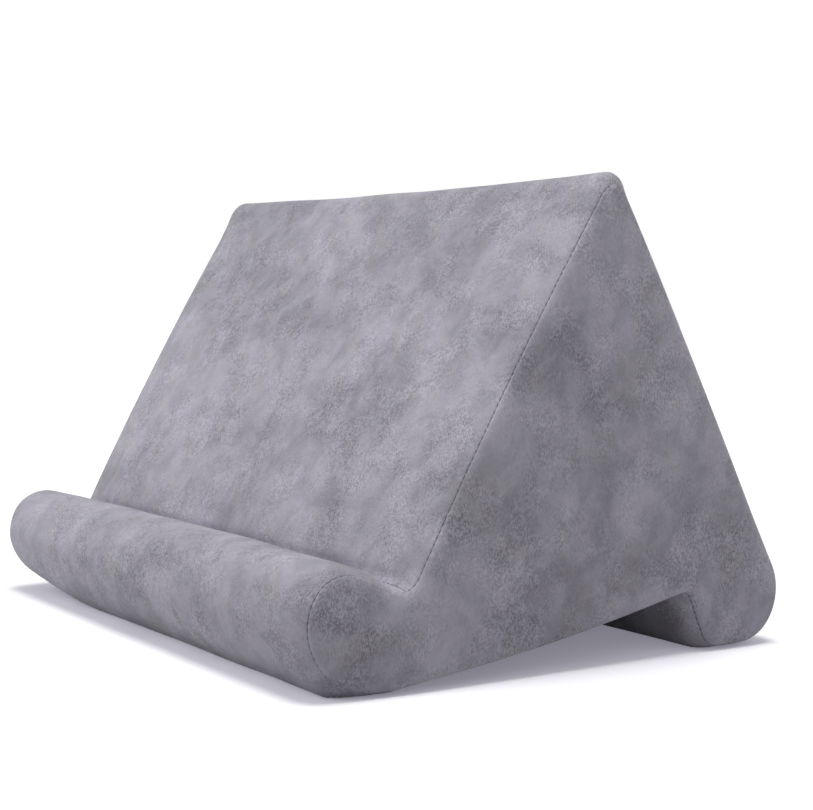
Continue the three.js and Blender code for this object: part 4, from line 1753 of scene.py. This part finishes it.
@dataclass
class BackZip:
    """The zip across the back: tapes, coils, stops and topstitching.

    Its own frame runs along the zip, down the slope and out of the cover's face.
    """

    form: CoverForm
    sizes: ZipSizes
    stitching: Stitching = Stitching(length=2.9 * MM, gap=0.9 * MM, radius=0.26 * MM)
    halves: tuple[tuple[str, int], ...] = (("upper", -1), ("lower", 1))
    tape_steps: tuple[int, int] = (110, 15)
    selvages: tuple[Pair, ...] = ((0.06, 0.05), (0.95, 0.04))
    selvage: float = 0.28
    edge_thinning: float = 0.8
    ripple: float = 0.06 * MM
    ripple_length: float = 9 * MM
    coil_steps: int = 11
    coil_sides: int = 5
    stop_length: float = 2.5 * MM
    stop_gap: float = 0.3 * MM
    stop_height: float = 0.1 * MM
    stop_steps: int = 24
    crimp: tuple[Pair, ...] = ((0.0, 0.9), (0.3, 0.99), (0.7, 1.0), (0.92, 0.92), (1.0, 0.74))
    squareness: float = 0.45
    stitch_points: int = 220

    @property
    def place(self) -> Matrix:
        """Turns the zip's own frame into the cushion's."""
        outline = self.form.outline
        at = outline.at(np.array([outline.zip_at]))
        outward = Vector((0.0, *at.normal[0]))
        along = Vector((1.0, 0.0, 0.0))
        origin = Vector((0.0, *at.point[0])) + outward * outline.panel_rise
        turn = Matrix((along, outward.cross(along), outward)).transposed()
        return Matrix.Translation(origin) @ turn.to_4x4()

    def seated(self, piece: Object) -> Object:
        """Moves a piece's mesh from the zip's own frame into the cushion's."""
        piece.data.transform(self.place)
        piece.data.update()
        return piece

    def tape(self, name: str, half: int) -> Object:
        """Weaves one tape, with a thicker selvage along both edges.

        Args:
            name: The piece's name.
            half: -1 above the coil, 1 below it.

        Returns:
            The tape.
        """
        sizes = self.sizes
        reach = sizes.window_half_length + sizes.tape_tail
        long, wide = self.tape_steps
        x, across = np.linspace(-reach, reach, long), np.linspace(0, 1, wide)
        cord = np.maximum.reduce([bell(across - middle, spread) for middle, spread in self.selvages])
        edges = np.sqrt(1 - self.edge_thinning * (2 * across - 1) ** 16)
        thick = sizes.tape_thickness / 2 * (1 + self.selvage * (cord - 1)) * edges
        y = half * (sizes.tape_gap + across * sizes.tape_width)
        middle = sizes.tape_top - sizes.tape_thickness / 2
        top, bottom = np.column_stack([y, middle + thick]), np.column_stack([y, middle - thick])
        section = np.vstack([top, bottom[::-1]])
        waves = self.ripple * np.sin(x / self.ripple_length)
        loops = np.empty((len(x), len(section), 3))
        loops[..., 0] = x[:, None]
        loops[..., 1] = section[:, 0]
        loops[..., 2] = section[:, 1] + waves[:, None]
        return self.seated(loft(name, loops))

    def coil(self, name: str, half: int) -> Object:
        """Winds one coil half; the heads of both halves lie between each other.

        Args:
            name: The piece's name.
            half: -1 above the middle, 1 below it.

        Returns:
            The coil.
        """
        sizes = self.sizes
        turns = int(sizes.length / sizes.coil_pitch) - 1
        angle = np.linspace(0, 2 * math.pi * turns, turns * self.coil_steps + 1)
        start = -turns * sizes.coil_pitch / 2 + half * sizes.coil_pitch / 4
        long = (sizes.coil_outer - sizes.coil_inner) / 2 - sizes.wire
        tall = (sizes.coil_top - sizes.coil_bottom) / 2 - sizes.wire
        path = np.column_stack([
            start + angle / (2 * math.pi) * sizes.coil_pitch,
            half * ((sizes.coil_outer + sizes.coil_inner) / 2 + long * np.cos(angle)),
            (sizes.coil_top + sizes.coil_bottom) / 2 + tall * np.sin(angle),
        ])
        tangent = unit(np.gradient(path, axis=0))
        side = unit(np.array([1.0, 0.0, 0.0]) - tangent * tangent[:, :1])
        rings = tube(path, side, np.cross(tangent, side), sizes.wire, self.coil_sides)
        return self.seated(loft(name, rings))

    def stop(self, name: str, x: float, low: float, high: float) -> Object:
        """Crimps one metal stop round the coil's end.

        Args:
            name: The piece's name.
            x: Its middle along the zip.
            low: Its lower edge down the slope.
            high: Its upper edge down the slope.

        Returns:
            The stop.
        """
        sizes = self.sizes
        shares = [(-along, scale) for along, scale in reversed(self.crimp[1:])] + [*self.crimp]
        along, scale = np.array(shares).T[..., None]
        turn = np.arange(self.stop_steps) * 2 * math.pi / self.stop_steps
        wide, tall = (np.sign(way) * np.abs(way) ** self.squareness for way in (np.cos(turn), np.sin(turn)))
        top, bottom = sizes.coil_top + self.stop_height, sizes.coil_bottom
        loops = np.empty((len(along), len(turn), 3))
        loops[..., 0] = x + along * self.stop_length / 2
        loops[..., 1] = (low + high) / 2 + (high - low) / 2 * scale * wide
        loops[..., 2] = (top + bottom) / 2 + (top - bottom) / 2 * scale * tall
        return self.seated(loft(name, loops))

    def stops(self) -> dict[str, Object]:
        """Makes the stops at both ends.

        Returns:
            The stops by the node that each stands for.
        """
        sizes = self.sizes
        x = sizes.length / 2 + self.stop_gap + self.stop_length / 2
        made = {}
        for half, way in self.halves:
            low, high = sorted((way * sizes.tape_gap, way * sizes.coil_outer))
            made[f"zip_top_stop_{half}"] = self.stop(f"top_stop_{half}", x, low, high)
        made["zip_bottom_stop"] = self.stop("bottom_stop", -x, -sizes.coil_outer, sizes.coil_outer)
        return made

    def topstitches(self, name: str, half: int, dent: float) -> Object:
        """Sews the row of stitches that holds one tape.

        Args:
            name: The piece's name.
            half: -1 above the coil, 1 below it.
            dent: Depth of the groove that the row lies in.

        Returns:
            The row of stitches.
        """
        form, sizes = self.form, self.sizes
        row = SeamStitches(form, self.stitching, sink=dent, end_gap=form.half - sizes.window_half_length,
                           cross_points=self.stitch_points)
        inset = sizes.window_half_width + sizes.stitch_inset
        return row.cross_seam(name, form.outline.zip_at + half * inset)


@dataclass
class ZipSlider:
    """The slider's body and the pull that flips on its bar, in the zip's own frame."""

    zip: BackZip
    middle: float = 118.5 * MM
    length: float = 12 * MM
    half_width: float = 4.9 * MM
    tail_half_width: float = 3.7 * MM
    blade: float = 1.2 * MM
    upper: float = 0.55 * MM
    lower: float = -3.25 * MM
    flange_inner: float = 3.45 * MM
    flange_bottom: float = -1.95 * MM
    web: float = 0.24 * MM
    bar_height: float = 3.75 * MM
    bar_radius: float = 0.6 * MM
    ear_length: float = 5 * MM
    ear_width: float = 1 * MM
    ear_middle: float = 2.1 * MM
    ear_top_radius: float = 1.25 * MM
    eye_radius: float = 1.7 * MM
    eye_hole: float = 0.95 * MM
    eye_width: float = 2.6 * MM
    pull_length: float = 24 * MM
    pull_width: float = 7 * MM
    pull_thickness: float = 1.2 * MM
    pull_tilt: float = 6.0
    rounding: float = 0.32 * MM
    fine_rounding: float = 0.2 * MM
    widest_at: float = -0.5 * MM
    mouth_notch: float = 1.1 * MM
    flange_ends: Pair = (-0.2 * MM, 4.6 * MM)
    flange_inset: float = 0.02 * MM
    ear_foot: float = 0.7 * MM
    web_ends: Pair = (2 * MM, 5 * MM)
    bar_past_ears: float = 0.4 * MM
    neck_ends: Pair = (-4 * MM, -1.2 * MM)
    neck_inset: float = 0.1 * MM
    shoulder: float = -7 * MM
    slot_ends: Pair = (-19 * MM, -10.5 * MM)
    slot_half_width: float = 1.6 * MM
    blade_cuts: tuple[float, ...] = (1.5 * MM, 2 * MM, 1.6 * MM, 2 * MM)
    flange_cuts: Pair = (0.4 * MM, 0.6 * MM)
    ear_cuts: Pair = (0.2 * MM, 1.1 * MM)
    pull_cuts: tuple[float, ...] = (3.4 * MM, 2 * MM, 1.2 * MM, 0.1 * MM)
    slot_cut: float = 1.4 * MM
    web_cut: float = 0.05 * MM
    web_rounding: float = 0.04 * MM
    bar_rounding: float = 0.1 * MM
    eye_rounding: float = 0.25 * MM
    bar_sides: int = 20

    @staticmethod
    def _lifted(piece: Object, height: float) -> Object:
        """Moves a plate to that height."""
        piece.data.transform(Matrix.Translation((0, 0, height)))
        return piece

    def _blade(self, name: str, bottom: float) -> Object:
        """Makes one of the two blades, wide at the mouth and narrow at the tail.

        Args:
            name: The blade's name.
            bottom: Height of its lower face.

        Returns:
            The blade.
        """
        mouth, wide = self.length / 2, self.half_width
        tail, waist, end, notch = self.blade_cuts
        half = [(-mouth, self.tail_half_width, tail), (self.widest_at, wide, waist), (mouth, wide, end)]
        corners = mirrored(half, [(mouth - self.mouth_notch, 0.0, notch)])
        made = plate(name, softened(corners), self.blade, self.rounding)
        return self._lifted(made, bottom + self.blade / 2)

    @staticmethod
    def _upright(piece: Object, y: float) -> Object:
        """Turns a plate on edge, across the zip, and moves it to that place."""
        piece.data.transform(Matrix.Translation((0, y, 0)) @ Matrix.Rotation(math.pi / 2, 4, "X"))
        return piece

    def body(self) -> Object:
        """Makes the slider's body.

        Returns:
            The body, in the cushion's frame.
        """
        pieces = [self._blade("blade_upper", self.upper),
                  self._blade("blade_lower", self.lower - self.blade)]
        depth = self.upper + self.blade / 2 - self.flange_bottom
        rear, front = self.flange_ends
        foot, top = self.upper + self.ear_foot, self.bar_height + self.ear_top_radius
        low, high = self.ear_cuts
        ear = softened([(-self.ear_length / 2, foot, low), (self.ear_length / 2, foot, low),
                        (self.ear_top_radius, top, high), (-self.ear_top_radius, top, high)])
        near, far = self.flange_cuts
        for way in (-1, 1):
            inner, outer = way * self.flange_inner, way * (self.half_width - self.flange_inset)
            corners = [(rear, inner, near), (front, inner, near), (front, outer, far), (rear, outer, far)]
            flange = plate("flange", softened(corners[::way]), depth, self.fine_rounding)
            pieces += [self._lifted(flange, self.flange_bottom + depth / 2),
                       self._upright(plate("ear", ear, self.ear_width, self.fine_rounding),
                                     way * self.ear_middle)]
        divider = softened(mirrored([(end, self.web / 2, self.web_cut) for end in self.web_ends]), steps=3)
        web = plate("web", divider, self.upper - self.lower + self.blade, self.web_rounding)
        web = self._lifted(web, (self.upper + self.lower) / 2)
        span = 2 * self.ear_middle + self.bar_past_ears
        bar = plate("bar", ring_outline(self.bar_radius, self.bar_sides), span, self.bar_rounding)
        bar = self._lifted(self._upright(bar, 0.0), self.bar_height)
        made = joined("slider_body", [*pieces, web, bar])
        made.data.transform(Matrix.Translation((self.middle, 0, 0)))
        return self.zip.seated(made)

    def pull(self) -> Object:
        """Makes the pull: an eye on the bar, a neck and a round-ended tab with a slot.

        Returns:
            The pull, in the cushion's frame.
        """
        eye = plate("eye", ring_outline(self.eye_radius), self.eye_width, self.eye_rounding,
                    [ring_outline(self.eye_hole)])
        wide, neck = self.pull_width / 2, self.eye_width / 2 - self.neck_inset
        outer, inner = self.neck_ends
        corners = [(-self.pull_length, wide), (self.shoulder, wide), (outer, neck), (inner, neck)]
        outline = mirrored([(*corner, cut) for corner, cut in zip(corners, self.pull_cuts)])
        slot = mirrored([(end, self.slot_half_width, self.slot_cut) for end in self.slot_ends])
        tab = plate("tab", softened(outline), self.pull_thickness, self.rounding, [softened(slot)])
        made = joined("zip_pull_tab", [self._upright(eye, 0.0), tab])
        tilt = Matrix.Rotation(-math.radians(self.pull_tilt), 4, "Y")
        made.data.transform(Matrix.Translation((self.middle, 0, self.bar_height)) @ tilt)
        return self.zip.seated(made)


# Stage


@dataclass
class Studio:
    """Camera, lamps, floor and the white surroundings."""

    azimuth: float = 54.657
    elevation: float = 3.229
    roll: float = 1.280
    place: tuple[float, float, float] = (0.6922, -0.4668, 0.1563)
    focal_pixels: float = 1605.7
    image_width: float = 813.0
    sensor: float = 36.0
    world_light: float = 0.3
    suns: tuple[tuple[str, Colour, float, float], ...] = (
        ("key", (0.05, -0.05, 1.0), 1.5, 22.0),
        ("fill", (-0.55, -1.0, 0.1), 1.15, 90.0),
    )
    boxes: tuple[tuple[str, Colour, Colour, float, float], ...] = (
        ("rim", (0.5, 0.2, 0.55), (0.0, 0.0, 0.0), 0.35, 0.12),
        ("reflector", (-0.1, -0.42, 0.004), (-0.1, -0.42, 1.0), 0.4, 0.2),
    )
    floor_reach: float = 30.0
    floor_colour: Colour = (1.12, 1.12, 1.12)
    floor_glow: Colour = (0.19, 0.185, 0.225)
    floor_bounce: Colour = (0.6, 0.6, 0.61)

    def camera(self) -> None:
        """Sets the camera at the photograph's viewing angle."""
        azimuth, elevation, roll = (math.radians(a) for a in (self.azimuth, self.elevation, self.roll))
        turn = Matrix.Rotation(azimuth, 4, "Z") @ Matrix.Rotation(math.pi / 2 - elevation, 4, "X")
        lens = bpy.data.cameras.new("camera")
        lens.sensor_width = self.sensor
        lens.lens = self.focal_pixels * self.sensor / self.image_width
        made = link("camera", lens)
        made.matrix_world = Matrix.Translation(self.place) @ turn @ Matrix.Rotation(roll, 4, "Z")
        bpy.context.scene.camera = made

    def lamps(self) -> None:
        """Adds the overhead key, the broad front fill, a soft box on the right and a low reflector."""
        for name, toward, strength, angle in self.suns:
            lamp = bpy.data.lights.new(name, "SUN")
            lamp.angle = math.radians(angle)
            self._aim(lamp, strength, Vector(toward))
        for name, place, aim, size, power in self.boxes:
            lamp = bpy.data.lights.new(name, "AREA")
            lamp.size = size
            self._aim(lamp, power, Vector(place) - Vector(aim)).location = place

    @staticmethod
    def _aim(lamp: bpy.types.Light, energy: float, toward: Vector) -> Object:
        """Sets a lamp's energy and adds it, shining against the given direction.

        Args:
            lamp: The lamp.
            energy: Its energy.
            toward: Direction from what it lights to the lamp.

        Returns:
            The lamp in the scene.
        """
        lamp.energy = energy
        made = link(lamp.name, lamp)
        made.rotation_mode = "QUATERNION"
        made.rotation_quaternion = toward.to_track_quat("Z", "Y")
        return made

    @staticmethod
    def _show(tree: ShaderTree, lit: Node, seen: Node, out: Node) -> None:
        """Gives a surface one shader to light with and another to be seen with.

        Args:
            tree: The tree to build in.
            lit: What lights the scene.
            seen: What the camera sees, by itself or in a reflection.
            out: The tree's output node.
        """
        path = tree.add("ShaderNodeLightPath").outputs
        shiny = tree.math("MAXIMUM", path["Is Glossy Ray"], path["Is Transmission Ray"])
        share = tree.math("MAXIMUM", path["Is Camera Ray"], shiny)
        mixed = tree.add("ShaderNodeMixShader", {0: share, 1: lit.outputs[0], 2: seen.outputs[0]})
        tree.feed(out.inputs["Surface"], mixed.outputs[0])

    def surroundings(self) -> None:
        """Sets a white background and an even light from all round."""
        world = bpy.data.worlds.new("surroundings")
        world.use_nodes = True
        bpy.context.scene.world = world
        tree = ShaderTree(world.node_tree)
        nodes = world.node_tree.nodes
        light = nodes["Background"]
        light.inputs["Color"].default_value = (1, 1, 1, 1)
        light.inputs["Strength"].default_value = self.world_light
        white = tree.add("ShaderNodeBackground", {"Color": (1, 1, 1, 1), "Strength": 1.0})
        self._show(tree, light, white, nodes["World Output"])

    def floor(self) -> None:
        """Lays a wide pale floor."""
        corners = np.array([(-1, -1, 0), (1, -1, 0), (1, 1, 0), (-1, 1, 0)]) * self.floor_reach
        made = mesh_object("floor", corners, [(0, 1, 2, 3)])
        material = bpy.data.materials.new("pale_floor")
        material.use_nodes = True
        nodes = material.node_tree.nodes
        nodes.remove(nodes["Principled BSDF"])
        tree = ShaderTree(material.node_tree)
        pale = tree.add("ShaderNodeBsdfDiffuse", {"Color": (*self.floor_colour, 1)})
        glow = tree.add("ShaderNodeEmission", {"Color": (*self.floor_glow, 1), "Strength": 1.0})
        shown = tree.add("ShaderNodeAddShader", {0: pale.outputs[0], 1: glow.outputs[0]})
        bounce = tree.add("ShaderNodeBsdfDiffuse", {"Color": (*self.floor_bounce, 1)})
        self._show(tree, bounce, shown, nodes["Material Output"])
        made.data.materials.append(material)

    def build(self) -> None:
        """Builds the whole stage."""
        bpy.context.scene.view_settings.view_transform = "Standard"
        self.camera()
        self.lamps()
        self.surroundings()
        self.floor()


@dataclass
class CushionStand:
    """The whole stand: cover, foam, stitches and zip."""

    materials: dict[Slot, Material]
    outline: SideOutline
    zip_sizes: ZipSizes

    def build(self) -> None:
        """Builds and seats every piece."""
        form = CoverForm(self.outline)
        start = CoverForm(self.outline, fullness=StuffingSimulation.start_fullness, hump=0.0)
        form.fullness = start.fullness
        form.swell = StuffingSimulation(start).run()
        wrap = WrapPanels(form, self.zip_sizes)
        for panel in Panel:
            piece = wrap.build(panel)
            self._settle(piece, panel.value, Slot.COVER)
        ends, stitches = EndPanels(form), SeamStitches(form)
        for side in Side:
            name = side.name.lower()
            piece = ends.build(side)
            self._settle(piece, f"side_panel_{name}", Slot.COVER)
            self._settle(stitches.side_seam(side), f"seam_thread_{name}", Slot.THREAD)
        seams = {"groove": 0.0, "base": self.outline.base_seam_at, "notch": self.outline.notch_at}
        for name, place in seams.items():
            self._settle(stitches.cross_seam(f"{name}_stitches", place), f"{name}_seam_thread", Slot.THREAD)
        for node, piece in FoamBlocks(form, self.zip_sizes).build().items():
            self._settle(piece, node, Slot.FOAM)
        self._add_zip(form, wrap.stitch_dent)

    def _settle(self, piece: Object, node: str, slot: Slot, body: str = "cushion") -> None:
        """Dresses a finished piece and seats it in the frame.

        Args:
            piece: The mesh object, in place.
            node: The solid that it stands for.
            slot: Its material slot.
            body: The body that it moves with.
        """
        piece.data.materials.clear()
        piece.data.materials.append(self.materials[slot])
        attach(piece, body)
        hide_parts(node)
        LOG.info("%s rides %s, %d points", piece.name, body, len(piece.data.vertices))

    def _add_zip(self, form: CoverForm, dent: float) -> None:
        """Builds the zip at the back.

        Args:
            form: The cover's form.
            dent: Depth of the grooves for the topstitching.
        """
        back_zip = BackZip(form, self.zip_sizes)
        for name, half in back_zip.halves:
            self._settle(back_zip.tape(f"tape_{name}", half), f"zip_tape_{name}", Slot.TAPE)
            self._settle(back_zip.coil(f"coil_{name}", half), f"zip_coil_{name}", Slot.COIL)
            row = back_zip.topstitches(f"topstitches_{name}", half, dent)
            self._settle(row, f"zip_thread_{name}", Slot.THREAD)
        for node, piece in back_zip.stops().items():
            self._settle(piece, node, Slot.METAL)
        slider = ZipSlider(back_zip)
        self._settle(slider.body(), "zip_slider", Slot.METAL, "slider")
        self._settle(slider.pull(), "zip_pull", Slot.METAL, "pull")


def main() -> None:
    """Builds the stage and the stand."""
    logging.basicConfig(level=logging.INFO, format="%(name)s: %(message)s")
    Studio().build()
    CushionStand(finishes(), SideOutline(), ZipSizes()).build()


if __name__ == "__main__":
    main()
